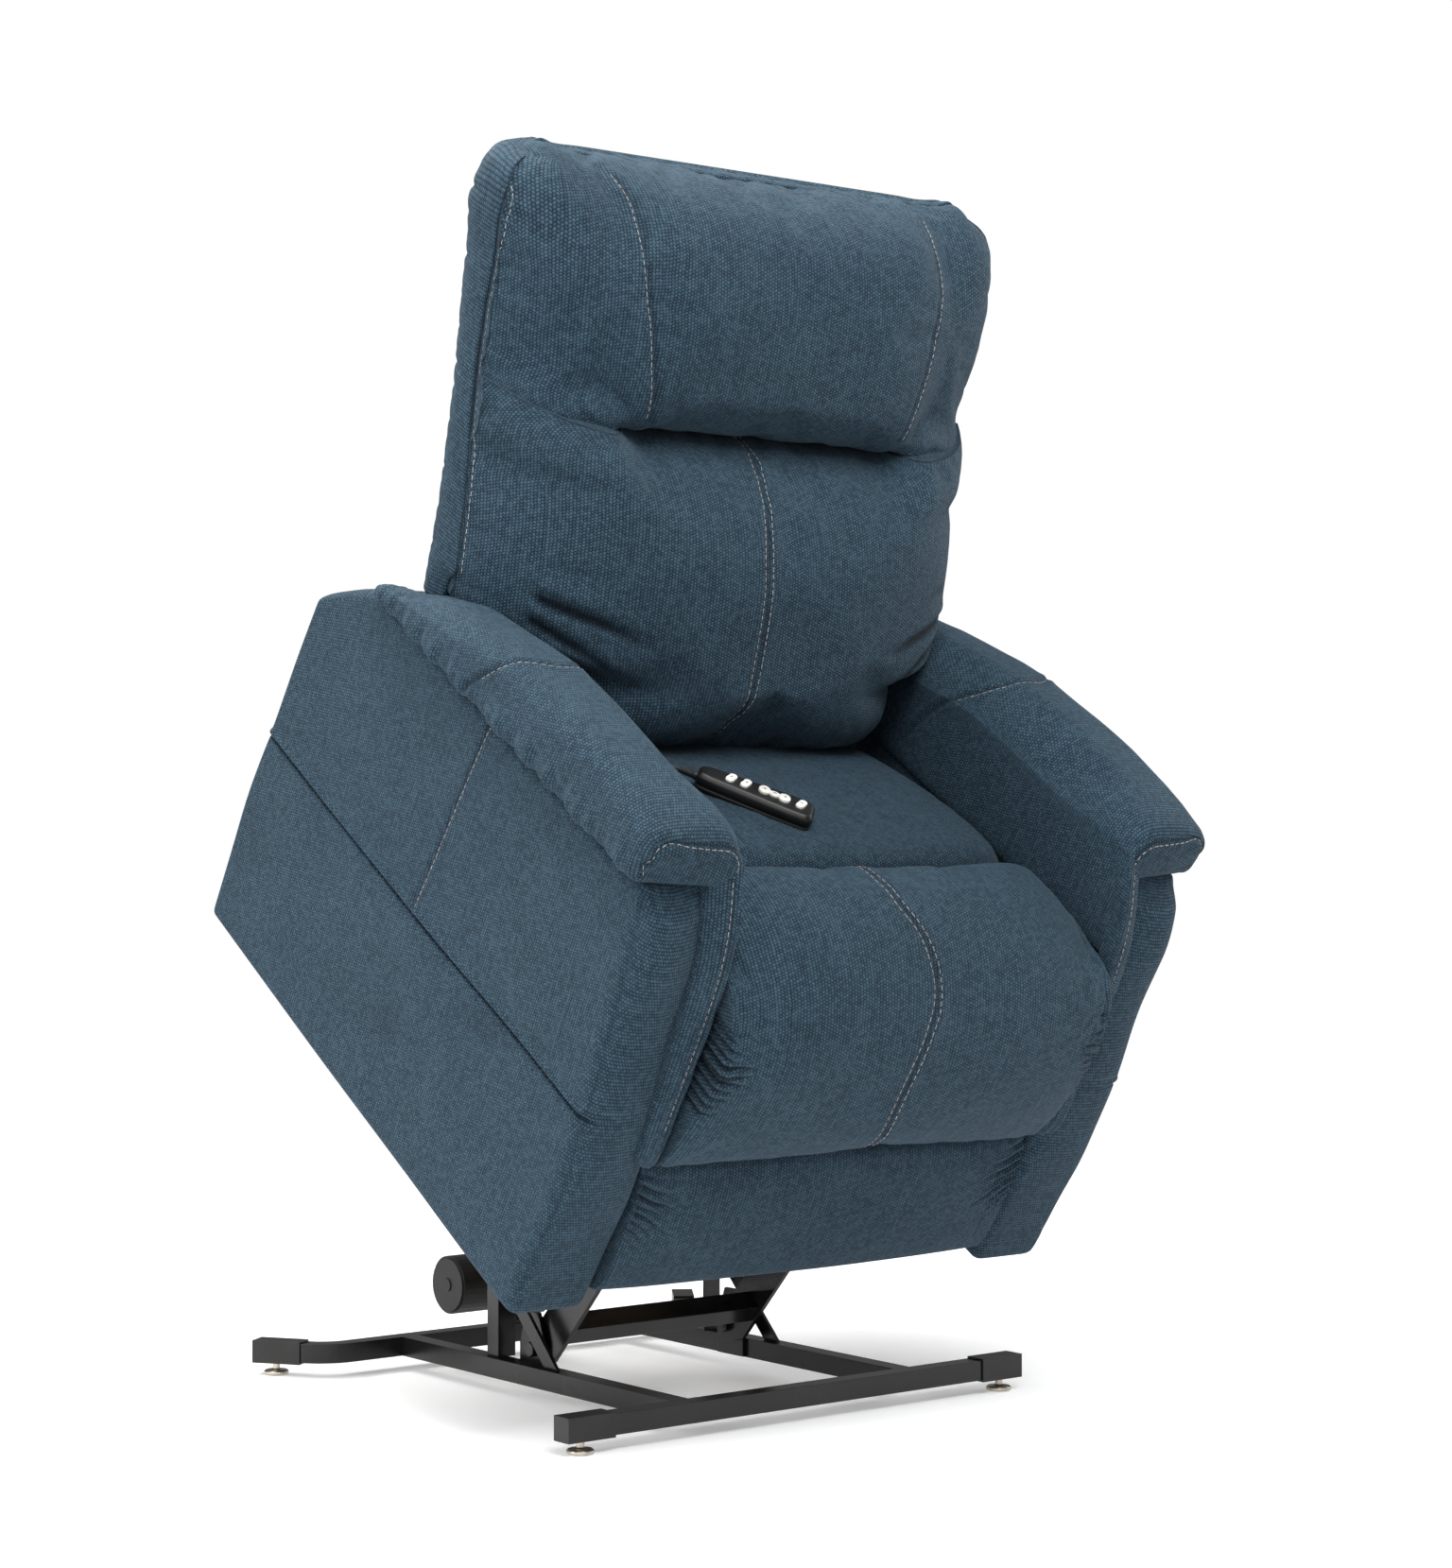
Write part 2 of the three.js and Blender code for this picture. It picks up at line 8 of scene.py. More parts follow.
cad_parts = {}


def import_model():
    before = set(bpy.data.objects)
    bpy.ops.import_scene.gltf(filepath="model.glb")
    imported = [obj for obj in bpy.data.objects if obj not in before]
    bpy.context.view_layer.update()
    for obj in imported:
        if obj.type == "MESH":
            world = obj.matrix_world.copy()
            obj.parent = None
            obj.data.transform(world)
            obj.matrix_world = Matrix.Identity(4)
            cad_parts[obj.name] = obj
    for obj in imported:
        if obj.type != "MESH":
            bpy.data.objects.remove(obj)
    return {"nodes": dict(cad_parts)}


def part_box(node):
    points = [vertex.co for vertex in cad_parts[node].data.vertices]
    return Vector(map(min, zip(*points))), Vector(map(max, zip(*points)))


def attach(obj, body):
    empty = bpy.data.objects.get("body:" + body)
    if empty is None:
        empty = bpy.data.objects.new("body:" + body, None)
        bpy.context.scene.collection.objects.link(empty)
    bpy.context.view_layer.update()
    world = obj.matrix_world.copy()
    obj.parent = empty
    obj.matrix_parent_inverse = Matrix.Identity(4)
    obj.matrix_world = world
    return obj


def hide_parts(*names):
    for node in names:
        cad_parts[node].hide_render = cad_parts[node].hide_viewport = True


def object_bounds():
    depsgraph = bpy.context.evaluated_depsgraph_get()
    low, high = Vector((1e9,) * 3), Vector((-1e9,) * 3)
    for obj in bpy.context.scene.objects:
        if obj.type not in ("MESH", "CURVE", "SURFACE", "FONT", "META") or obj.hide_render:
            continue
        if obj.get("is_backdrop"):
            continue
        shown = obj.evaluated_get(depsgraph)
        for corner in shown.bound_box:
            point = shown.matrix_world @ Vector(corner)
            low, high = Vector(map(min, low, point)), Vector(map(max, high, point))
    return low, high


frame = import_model()
NODES = frame["nodes"]
CAD_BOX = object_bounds()
RNG = np.random.default_rng(7)

# ------------------------------------------------------------------ shared frame
# The raised chair is drawn in its own millimetre coordinates: x towards the sitter's left, s rearwards along the seat,
# b up from the chair's bottom edge. world() puts them where the CAD has them.
TILT = math.radians(32.72)
CT, ST = math.cos(TILT), math.sin(TILT)
_lo, _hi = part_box("front_cross_tube")
ORIGIN_Y = 0.0177 - (_lo[1] + _hi[1]) / 2


def world(p):
    p = np.atleast_2d(np.asarray(p, float)) / 1000
    x, s, b = p.T
    return np.stack([x, 0.04928 - ORIGIN_Y + s * CT - b * ST, 0.16813 + s * ST + b * CT], 1)


# ------------------------------------------------------------------ camera and light
scene = bpy.context.scene
scene.view_settings.view_transform = "Standard"
cam = bpy.data.objects.new("camera", bpy.data.cameras.new("camera"))
scene.collection.objects.link(cam)
scene.camera = cam
cam.location = (-2.55633, -3.05299 - 0.0168 - ORIGIN_Y, 0.75876)
cam.rotation_euler = (math.radians(90.4), 0, math.radians(-38.31))
cam.data.lens = 74.26
cam.data.sensor_width = 36


def area_light(name, loc, target, size, power, color=(1, 1, 1), size_y=None):
    d = bpy.data.lights.new(name, "AREA")
    d.energy, d.size, d.color = power, size, color
    if size_y:
        d.shape, d.size_y = "RECTANGLE", size_y
    o = bpy.data.objects.new(name, d)
    scene.collection.objects.link(o)
    o.location = loc
    o.rotation_euler = (Vector(target) - Vector(loc)).to_track_quat("-Z", "Y").to_euler()
    return o


AMBIENT = 0.2
area_light("top_rear", (-0.5, 0.9, 3.3), (0, 0, 0.7), 2.4, 138)
area_light("top_front", (-0.6, -2.0, 3.2), (0, 0, 0.7), 2.0, 118)
area_light("left", (-3.4, 0.4, 1.6), (0, 0, 0.7), 2.0, 68)
area_light("left_front", (-2.8, -2.6, 1.6), (0, 0, 0.7), 1.6, 14)
area_light("right", (3.2, -0.6, 1.7), (0, 0, 0.7), 2.0, 50)
w = bpy.data.worlds.new("studio")
scene.world = w
w.use_nodes = True
w.node_tree.nodes["Background"].inputs[0].default_value = (1, 1, 1, 1)
_lp = w.node_tree.nodes.new("ShaderNodeLightPath")
_mr = w.node_tree.nodes.new("ShaderNodeMapRange")
_mr.inputs["To Min"].default_value = AMBIENT
_mr.inputs["To Max"].default_value = 1.0
w.node_tree.links.new(_lp.outputs["Is Camera Ray"], _mr.inputs["Value"])
w.node_tree.links.new(_mr.outputs["Result"], w.node_tree.nodes["Background"].inputs["Strength"])


# ------------------------------------------------------------------ node material helpers
class Nodes:
    def __init__(self, name):
        self.m = bpy.data.materials.new(name)
        self.m.use_nodes = True
        self.t = self.m.node_tree
        self.b = self.t.nodes["Principled BSDF"]

    def new(self, kind, **kw):
        n = self.t.nodes.new(kind)
        for k, v in kw.items():
            setattr(n, k, v)
        return n

    def link(self, a, b):
        self.t.links.new(a, b)

    def math(self, op, a, b=None, c=None, clamp=False):
        n = self.new("ShaderNodeMath", operation=op, use_clamp=clamp)
        for i, v in enumerate((a, b, c)):
            if v is None:
                continue
            if isinstance(v, (int, float)):
                n.inputs[i].default_value = v
            else:
                self.link(v, n.inputs[i])
        return n.outputs[0]

    def noise(self, vec, scale, detail=2, rough=0.5):
        n = self.new("ShaderNodeTexNoise")
        n.inputs["Scale"].default_value = scale
        n.inputs["Detail"].default_value = detail
        n.inputs["Roughness"].default_value = rough
        self.link(vec, n.inputs["Vector"])
        return n.outputs["Fac"]

    def ramp(self, fac, stops):
        n = self.new("ShaderNodeValToRGB")
        e = n.color_ramp.elements
        while len(e) > len(stops):
            e.remove(e[-1])
        while len(e) < len(stops):
            e.new(0.5)
        for el, (p, c) in zip(e, stops):
            el.position = p
            el.color = (*c, 1) if len(c) == 3 else c
        self.link(fac, n.inputs["Fac"])
        return n.outputs["Color"]

    def mix(self, fac, a, b, mode="MIX"):
        n = self.new("ShaderNodeMix", data_type="RGBA", blend_type=mode)
        for sock, v in ((n.inputs[0], fac), (n.inputs[6], a), (n.inputs[7], b)):
            if isinstance(v, (int, float)):
                sock.default_value = v
            elif isinstance(v, tuple):
                sock.default_value = (*v, 1)
            else:
                self.link(v, sock)
        return n.outputs[2]

    def bump(self, height, strength, dist, normal=None):
        n = self.new("ShaderNodeBump")
        n.inputs["Strength"].default_value = strength
        n.inputs["Distance"].default_value = dist
        self.link(height, n.inputs["Height"])
        if normal is not None:
            self.link(normal, n.inputs["Normal"])
        return n.outputs["Normal"]

    def out(self, color=None, rough=None, normal=None, **kw):
        for sock, v in (("Base Color", color), ("Roughness", rough), ("Normal", normal)):
            if v is None:
                continue
            if isinstance(v, (int, float)):
                self.b.inputs[sock].default_value = v
            elif isinstance(v, tuple):
                self.b.inputs[sock].default_value = (*v, 1)
            else:
                self.link(v, self.b.inputs[sock])
        for k, v in kw.items():
            self.b.inputs[k.replace("_", " ")].default_value = v
        return self.m


def fabric_material(name, dark, mid, light, pitch=(4.3, 3.7)):
    """Chenille weave: staggered short beads in rows, in flat-cloth millimetres carried by the 'cloth' map."""
    n = Nodes(name)
    uv = n.new("ShaderNodeUVMap", uv_map="cloth").outputs[0]
    wob = n.new("ShaderNodeTexNoise")
    wob.inputs["Scale"].default_value = 0.055
    wob.inputs["Detail"].default_value = 3
    n.link(uv, wob.inputs["Vector"])
    off = n.new("ShaderNodeVectorMath", operation="MULTIPLY_ADD")
    n.link(wob.outputs["Color"], off.inputs[0])
    off.inputs[1].default_value = (2.6, 2.6, 0)
    n.link(uv, off.inputs[2])
    sep = n.new("ShaderNodeSeparateXYZ")
    n.link(off.outputs[0], sep.inputs[0])
    u = n.math("DIVIDE", sep.outputs[0], pitch[0])
    col = n.math("FLOOR", u)
    par = n.math("MULTIPLY", n.math("FLOORED_MODULO", col, 2), 0.5)
    v = n.math("ADD", n.math("DIVIDE", sep.outputs[1], pitch[1]), par)
    fu = n.math("SUBTRACT", n.math("FRACT", u), 0.5)
    fv = n.math("SUBTRACT", n.math("FRACT", v), 0.5)
    # a bead leans one way on odd columns and the other way on even ones
    lean = n.math("SUBTRACT", n.math("MULTIPLY", par, 4), 1)
    fv2 = n.math("ADD", fv, n.math("MULTIPLY", fu, n.math("MULTIPLY", lean, 0.38)))
    ru = n.math("SUBTRACT", 1, n.math("POWER", n.math("MULTIPLY", n.math("ABSOLUTE", fu), 2), 2.4))
    rv = n.math("SUBTRACT", 1, n.math("POWER", n.math("MINIMUM", n.math("MULTIPLY", n.math("ABSOLUTE", fv2), 2), 1), 2.2))
    bead = n.math("MULTIPLY", n.math("MAXIMUM", ru, 0), n.math("MAXIMUM", rv, 0))
    # each bead has its own tone
    cell = n.new("ShaderNodeCombineXYZ")
    n.link(col, cell.inputs[0])
    n.link(n.math("FLOOR", v), cell.inputs[1])
    wn = n.new("ShaderNodeTexWhiteNoise", noise_dimensions="2D")
    n.link(cell.outputs[0], wn.inputs["Vector"])
    tone = wn.outputs["Value"]
    fuzz = n.noise(uv, 1.1, 3, 0.7)
    streak_map = n.new("ShaderNodeMapping")
    streak_map.inputs["Scale"].default_value = (0.16, 0.012, 1)
    n.link(uv, streak_map.inputs["Vector"])
    streak = n.noise(streak_map.outputs[0], 1.0, 4, 0.6)
    cloud = n.noise(uv, 0.009, 3, 0.55)
    h = n.math("ADD", bead, n.math("MULTIPLY", n.math("SUBTRACT", fuzz, 0.5), 0.35))
    f = n.math("ADD", n.math("MULTIPLY", bead, 0.6), n.math("MULTIPLY", tone, 0.26))
    f = n.math("ADD", f, n.math("MULTIPLY", n.math("SUBTRACT", fuzz, 0.5), 0.55))
    f = n.math("ADD", f, n.math("MULTIPLY", n.math("SUBTRACT", streak, 0.5), 0.26))
    f = n.math("ADD", f, n.math("MULTIPLY", n.math("SUBTRACT", cloud, 0.5), 0.16))
    colr = n.ramp(f, [(0.0, dark), (0.38, mid), (1.0, light)])
    # brushed nap: lighter and bluer where the pile lies over
    nap = n.ramp(n.noise(uv, 0.004, 2, 0.5), [(0.35, (0.97, 0.985, 1.0)), (0.65, (1.03, 1.015, 1.0))])
    colr = n.mix(1.0, colr, nap, "MULTIPLY")
    # here and there a brown fleck
    fleck = n.math("GREATER_THAN", n.noise(uv, 0.75, 2, 0.8), 0.735)
    colr = n.mix(n.math("MULTIPLY", fleck, 0.28), colr, (0.16, 0.13, 0.12))
    # painted shade: the per-point shade value from Soft.shade darkens the cloth colour in grooves, folds and shaded
    # areas
    painted_shade = n.new("ShaderNodeAttribute", attribute_name="painted_shade").outputs["Fac"]
    shade_tint = n.ramp(painted_shade, [(0.0, (1, 1, 1)), (0.35, (0.62, 0.64, 0.66)), (1.0, (0.2, 0.22, 0.24))])
    colr = n.mix(1.0, colr, shade_tint, "MULTIPLY")
    nrm = n.bump(h, 0.6, 0.0012)
    m = n.out(colr, n.math("ADD", 0.78, n.math("MULTIPLY", bead, 0.14)), nrm)
    n.b.inputs["Sheen Weight"].default_value = 0.07
    n.b.inputs["Sheen Roughness"].default_value = 0.45
    n.b.inputs["Sheen Tint"].default_value = (0.72, 0.86, 1.0, 1)
    n.b.inputs["Specular IOR Level"].default_value = 0.15
    return m


def coat_material(name, base, rough, grain=900, bump=0.12, edge=0.35, metallic=0.0, coat=0.0):
    n = Nodes(name)
    tc = n.new("ShaderNodeTexCoord").outputs["Object"]
    big = n.noise(tc, 14, 4, 0.6)
    fine = n.noise(tc, grain, 2, 0.6)
    lo_ = tuple(c * 0.75 for c in base)
    hi_ = tuple(min(1, c * 1.35 + 0.004) for c in base)
    colr = n.ramp(big, [(0.3, lo_), (0.7, hi_)])
    bev = n.new("ShaderNodeBevel", samples=4)
    bev.inputs["Radius"].default_value = 0.0012
    geo = n.new("ShaderNodeNewGeometry")
    dot = n.new("ShaderNodeVectorMath", operation="DOT_PRODUCT")
    n.link(bev.outputs[0], dot.inputs[0])
    n.link(geo.outputs["Normal"], dot.inputs[1])
    wear = n.math("MULTIPLY", n.math("SUBTRACT", 1, dot.outputs["Value"], clamp=True), 5, clamp=True)
    wear = n.math("MULTIPLY", wear, n.math("GREATER_THAN", n.noise(tc, 60, 3, 0.7), 0.42))
    colr = n.mix(n.math("MULTIPLY", wear, edge), colr, tuple(min(1, c * 2.2 + 0.05) for c in base))
    r = n.math("ADD", n.math("MULTIPLY", n.math("SUBTRACT", big, 0.5), 0.22), rough)
    nrm = n.bump(fine, bump, 0.0004, bev.outputs[0])
    m = n.out(colr, r, nrm, Metallic=metallic)
    n.b.inputs["Specular IOR Level"].default_value = 0.5 if metallic or base[0] > 0.1 else 0.32
    n.b.inputs["Coat Weight"].default_value = coat
    n.b.inputs["Coat Roughness"].default_value = 0.25
    return m


def wood_material(name):
    n = Nodes(name)
    tc = n.new("ShaderNodeTexCoord").outputs["Object"]
    mp = n.new("ShaderNodeMapping")
    mp.inputs["Scale"].default_value = (3, 40, 40)
    n.link(tc, mp.inputs["Vector"])
    g = n.noise(mp.outputs[0], 3, 6, 0.65)
    colr = n.ramp(g, [(0.3, (0.30, 0.19, 0.10)), (0.7, (0.62, 0.46, 0.28))])
    return n.out(colr, 0.6, n.bump(g, 0.2, 0.001))


FAB = fabric_material("chenille_slate_blue", (0.0028, 0.0062, 0.0095), (0.0172, 0.0375, 0.0575), (0.066, 0.117, 0.158))
LINER = fabric_material("chenille_rear_panel", (0.0028, 0.006, 0.009), (0.0165, 0.036, 0.055), (0.060, 0.108, 0.146))
STEEL = coat_material("satin_black_steel", (0.0040, 0.0038, 0.0037), 0.24, 700, 0.05, 0.10, coat=0.12)
CAPS = coat_material("matte_black_cap", (0.009, 0.0085, 0.008), 0.42, 500, 0.2, 0.12, coat=0.15)
PLAST = coat_material("moulded_black_plastic", (0.0085, 0.0082, 0.008), 0.42, 1400, 0.2, 0.12)
NICKEL = coat_material("satin_nickel", (0.50, 0.45, 0.38), 0.30, 900, 0.06, 0.2, metallic=1.0)
ZINC = coat_material("zinc_plated", (0.55, 0.56, 0.58), 0.28, 900, 0.05, 0.2, metallic=1.0)
RUBBER = coat_material("rubber_black", (0.013, 0.013, 0.014), 0.5, 1200, 0.15, 0.1)
WHITE = coat_material("button_ivory", (0.78, 0.76, 0.71), 0.3, 900, 0.05, 0.0, coat=0.3)
SYMBOL = coat_material("button_symbol", (0.20, 0.12, 0.09), 0.5, 900, 0.05, 0.0)
WOOD = wood_material("raw_plywood")


def thread_material():
    n = Nodes("contrast_thread")
    tc = n.new("ShaderNodeTexCoord").outputs["Object"]
    t = n.noise(tc, 420, 2, 0.6)
    return n.out(n.ramp(t, [(0.35, (0.20, 0.165, 0.16)), (0.65, (0.50, 0.44, 0.42))]), 0.7, n.bump(t, 0.4, 0.0004))


THREAD = thread_material()

BY_NAME = {"end_cap": CAPS, "glide": NICKEL, "lift_actuator_rod": ZINC, "footrest_actuator_rod": ZINC, "seat_deck": WOOD, "footrest_frame": WOOD,
           "lift_actuator_body": PLAST, "lift_motor": PLAST, "control_box": PLAST, "footrest_actuator_body": PLAST}
for name, o in NODES.items():
    m = next((v for k, v in BY_NAME.items() if name.startswith(k)), STEEL)
    o.data.materials.clear()
    o.data.materials.append(m)


# ------------------------------------------------------------------ mesh helpers
def curve(points, n):
    """n + 1 points, evenly spaced along a smooth line through the given ones."""
    p = np.asarray(points, float)
    ext = np.vstack([2 * p[0] - p[1], p, 2 * p[-1] - p[-2]])
    out = []
    for i in range(1, len(ext) - 2):
        p0, p1, p2, p3 = ext[i - 1:i + 3]
        t0 = 0
        t1 = t0 + np.linalg.norm(p1 - p0) ** 0.5 + 1e-9
        t2 = t1 + np.linalg.norm(p2 - p1) ** 0.5 + 1e-9
        t3 = t2 + np.linalg.norm(p3 - p2) ** 0.5 + 1e-9
        t = np.linspace(t1, t2, 14, endpoint=False)[:, None]
        a1 = (t1 - t) / (t1 - t0) * p0 + (t - t0) / (t1 - t0) * p1
        a2 = (t2 - t) / (t2 - t1) * p1 + (t - t1) / (t2 - t1) * p2
        a3 = (t3 - t) / (t3 - t2) * p2 + (t - t2) / (t3 - t2) * p3
        b1 = (t2 - t) / (t2 - t0) * a1 + (t - t0) / (t2 - t0) * a2
        b2 = (t3 - t) / (t3 - t1) * a2 + (t - t1) / (t3 - t1) * a3
        out.append((t2 - t) / (t2 - t1) * b1 + (t - t1) / (t2 - t1) * b2)
    q = np.vstack([*out, p[-1:]])
    d = np.concatenate([[0], np.cumsum(np.linalg.norm(np.diff(q, axis=0), axis=1))])
    want = np.linspace(0, d[-1], n + 1)
    return np.stack([np.interp(want, d, q[:, k]) for k in range(q.shape[1])], 1)


def smooth(x):
    x = np.clip(x, 0, 1)
    return x * x * (3 - 2 * x)


def box_grid(A, B, C):
    """Vertices and quads of the skin of a grid, with each quad's chart. A, B, C are the grid's parameter values."""
    na, nb, nc = len(A), len(B), len(C)
    m = np.zeros((na, nb, nc), bool)
    m[0] = m[-1] = True
    m[:, 0] = m[:, -1] = True
    m[:, :, 0] = m[:, :, -1] = True
    I = np.full(m.shape, -1)
    ijk = np.argwhere(m)
    I[m] = np.arange(len(ijk))
    charts = []
    for sl, flip in ((I[:, :, -1], 0), (I[:, :, 0], 1), (I[0], 0), (I[-1], 1), (I[:, 0], 1), (I[:, -1], 0)):
        q = np.stack([sl[:-1, :-1], sl[1:, :-1], sl[1:, 1:], sl[:-1, 1:]], -1)
        charts.append((sl, q[..., ::-1] if flip else q))
    par = np.stack([np.asarray(A)[ijk[:, 0]], np.asarray(B)[ijk[:, 1]], np.asarray(C)[ijk[:, 2]]], 1)
    return par, charts


def cloth_uv(P, sl):
    """Flat-cloth millimetres of a chart's grid, measured from its middle row and column."""
    G = P[sl]
    du = np.linalg.norm(np.diff(G, axis=0), axis=2)
    dv = np.linalg.norm(np.diff(G, axis=1), axis=2)
    U = np.concatenate([np.zeros((1, G.shape[1])), np.cumsum(du, 0)], 0)
    V = np.concatenate([np.zeros((G.shape[0], 1)), np.cumsum(dv, 1)], 1)
    U -= U[G.shape[0] // 2][None]
    V -= V[:, G.shape[1] // 2][:, None]
    return np.stack([U, V], -1)


class Soft:
    """An upholstered piece as a closed grid in chair millimetres. pos(a, b, c) gives points for parameter arrays."""

    def __init__(self, name, A, B, C, pos, mat=None, swap=False):
        self.name = name
        self.par, self.charts = box_grid(A, B, C)
        self.P = pos(*self.par.T)
        self.swap = swap
        self.mat = mat or FAB
        me = bpy.data.meshes.new(name)
        quads, uvs = [], []
        for k, (sl, q) in enumerate(self.charts):
            uv = cloth_uv(self.P, sl)
            if swap:
                uv = uv[..., ::-1]
            uv = uv + np.array([37.7 * k, 91.3 * k])
            c = np.stack([uv[:-1, :-1], uv[1:, :-1], uv[1:, 1:], uv[:-1, 1:]], 2)
            if not np.array_equal(q[0, 0], np.array([sl[0, 0], sl[1, 0], sl[1, 1], sl[0, 1]])):
                c = c[:, :, ::-1]
            quads.append(q.reshape(-1, 4))
            uvs.append(c.reshape(-1, 4, 2))
        F = np.concatenate(quads)
        UV = np.concatenate(uvs)
        # outward faces: positive volume in world space
        Wp = world(self.P)
        tri = Wp[F[:, [0, 1, 2]]]
        tri2 = Wp[F[:, [0, 2, 3]]]
        vol = np.einsum("ij,ij->i", tri[:, 0], np.cross(tri[:, 1], tri[:, 2])).sum() + np.einsum("ij,ij->i", tri2[:, 0], np.cross(tri2[:, 1], tri2[:, 2])).sum()
        if vol < 0:
            F, UV = F[:, ::-1], UV[:, ::-1]
        me.from_pydata([tuple(p) for p in Wp], [], [tuple(int(i) for i in f) for f in F])
        lay = me.uv_layers.new(name="cloth")
        lay.data.foreach_set("uv", UV.reshape(-1).astype(np.float32))
        me.polygons.foreach_set("use_smooth", np.ones(len(F), bool))
        me.materials.append(self.mat)
        me.update()
        if name not in ("head_pillow_cover", "lumbar_cushion_cover"):
            bm = bmesh.new()
            bm.from_mesh(me)
            bmesh.ops.recalc_face_normals(bm, faces=bm.faces)
            bm.to_mesh(me)
            bm.free()
            me.update()
        self.o = bpy.data.objects.new(name, me)
        scene.collection.objects.link(self.o)

    # ---- vertex access in chair millimetres
    def get(self):
        me = self.o.data
        co = np.empty(len(me.vertices) * 3, np.float32)
        me.vertices.foreach_get("co", co)
        w_ = co.reshape(-1, 3).astype(float)
        y, z = w_[:, 1] - (0.04928 - ORIGIN_Y), w_[:, 2] - 0.16813
        return np.stack([w_[:, 0], y * CT + z * ST, -y * ST + z * CT], 1) * 1000

    def put(self, P):
        self.o.data.vertices.foreach_set("co", world(P).astype(np.float32).reshape(-1))
        self.o.data.update()

    def normals(self):
        me = self.o.data
        no = np.empty(len(me.vertices) * 3, np.float32)
        me.vertex_normals.foreach_get("vector", no)
        n_ = no.reshape(-1, 3).astype(float)
        return np.stack([n_[:, 0], n_[:, 1] * CT + n_[:, 2] * ST, -n_[:, 1] * ST + n_[:, 2] * CT], 1)

    def pressure(self, cap=22, frames=18, pressure=3.2, pin=None, shrink=-0.04, stiff=12, limit=None):
        """Puffs the cover with a pressurised cloth, held where pin is 1, and keeps every point within cap of its start."""
        start = self.get()
        o = self.o
        g = o.vertex_groups.new(name="pin")
        wts = np.zeros(len(start)) if pin is None else pin(self.par, start)
        for val in np.unique(np.round(wts, 2)):
            idx = np.nonzero(np.round(wts, 2) == val)[0]
            g.add([int(i) for i in idx], float(val), "REPLACE")
        md = o.modifiers.new("puff", "CLOTH")
        s = md.settings
        s.quality = 4
        s.mass = 0.35
        s.tension_stiffness = s.compression_stiffness = stiff
        s.shear_stiffness = stiff * 0.5
        s.bending_stiffness = 0.6
        s.air_damping = 2
        s.use_pressure = True
        s.uniform_pressure_force = pressure
        s.shrink_min = shrink
        s.vertex_group_mass = "pin"
        s.effector_weights.gravity = 0
        md.collision_settings.use_collision = False
        md.point_cache.frame_start = 1
        md.point_cache.frame_end = frames
        for f in range(1, frames + 1):
            scene.frame_set(f)
        dg = bpy.context.evaluated_depsgraph_get()
        ev = o.evaluated_get(dg)
        co = np.empty(len(start) * 3, np.float32)
        ev.data.vertices.foreach_get("co", co)
        o.modifiers.remove(md)
        o.vertex_groups.clear()
        scene.frame_set(1)
        w_ = co.reshape(-1, 3).astype(float)
        y, z = w_[:, 1] - (0.04928 - ORIGIN_Y), w_[:, 2] - 0.16813
        end = np.stack([w_[:, 0], y * CT + z * ST, -y * ST + z * CT], 1) * 1000
        d = end - start
        L = np.linalg.norm(d, axis=1, keepdims=True)
        d *= np.minimum(1, cap / np.maximum(L, 1e-6))
        P = start + np.nan_to_num(d)
        if limit is not None:
            P = limit(P, start)
        self.put(P)
        return self

    def subdivide(self, levels=1):
        md = self.o.modifiers.new("sub", "SUBSURF")
        md.levels = levels
        md.subdivision_type = "CATMULL_CLARK"
        md.uv_smooth = "NONE"
        dg = bpy.context.evaluated_depsgraph_get()
        me = bpy.data.meshes.new_from_object(self.o.evaluated_get(dg), preserve_all_data_layers=True, depsgraph=dg)
        self.o.modifiers.remove(md)
        old = self.o.data
        self.o.data = me
        bpy.data.meshes.remove(old)
        me.name = self.name
        return self

    def tree(self):
        P = self.get()
        polys = np.empty(len(self.o.data.loops), np.int32)
        self.o.data.loops.foreach_get("vertex_index", polys)
        return BVHTree.FromPolygons([tuple(p) for p in P], [tuple(q) for q in polys.reshape(-1, 4).tolist()])

    def snap(self, guide, along=None, n=None, step=2.0):
        """Points of a guide line laid on the surface: shot along a direction, or to the nearest point."""
        g = np.asarray(guide, float)
        L = np.linalg.norm(np.diff(g, axis=0), axis=1).sum()
        q = curve(g, n or max(6, int(L / step)))
        t = self.tree()
        pts, nor = [], []
        for p in q:
            if along is None:
                hit = t.find_nearest(Vector(p))
            else:
                d = Vector(along).normalized()
                hit = t.ray_cast(Vector(p) - d * 400, d, 900)
            if hit is None or hit[0] is None:
                continue
            pts.append(hit[0][:])
            nor.append(hit[1][:])
        return np.array(pts), np.array(nor)

    def shade(self, v):
        """Adds painted shade: raises the cloth's shade value, which darkens its colour in folds, grooves and shaded
        areas.
        """
        n_ = len(self.o.data.vertices)
        if getattr(self, "painted_shade_sum", None) is None or len(self.painted_shade_sum) != n_:
            self.painted_shade_sum = np.zeros(n_)
        self.painted_shade_sum += np.clip(v, 0, 1)
        me = self.o.data
        at = me.attributes.get("painted_shade") or me.attributes.new("painted_shade", "FLOAT", "POINT")
        at.data.foreach_set("value", np.clip(self.painted_shade_sum, 0, 1).astype(np.float32))

    def groove(self, pts, depth=3.0, width=4.0, lips=0.0, lip_at=7.0):
        """Presses a sewn channel into the surface along pts, and paints shade along it."""
        from mathutils.kdtree import KDTree
        k = KDTree(len(pts))
        for i, p in enumerate(pts):
            k.insert(Vector(p), i)
        k.balance()
        P, N = self.get(), self.normals()
        lo_, hi_ = pts.min(0) - 25, pts.max(0) + 25
        near = np.nonzero(np.all((P > lo_) & (P < hi_), axis=1))[0]
        dark = np.zeros(len(P))
        for i in near:
            d = k.find(Vector(P[i]))[2]
            if d < 24:
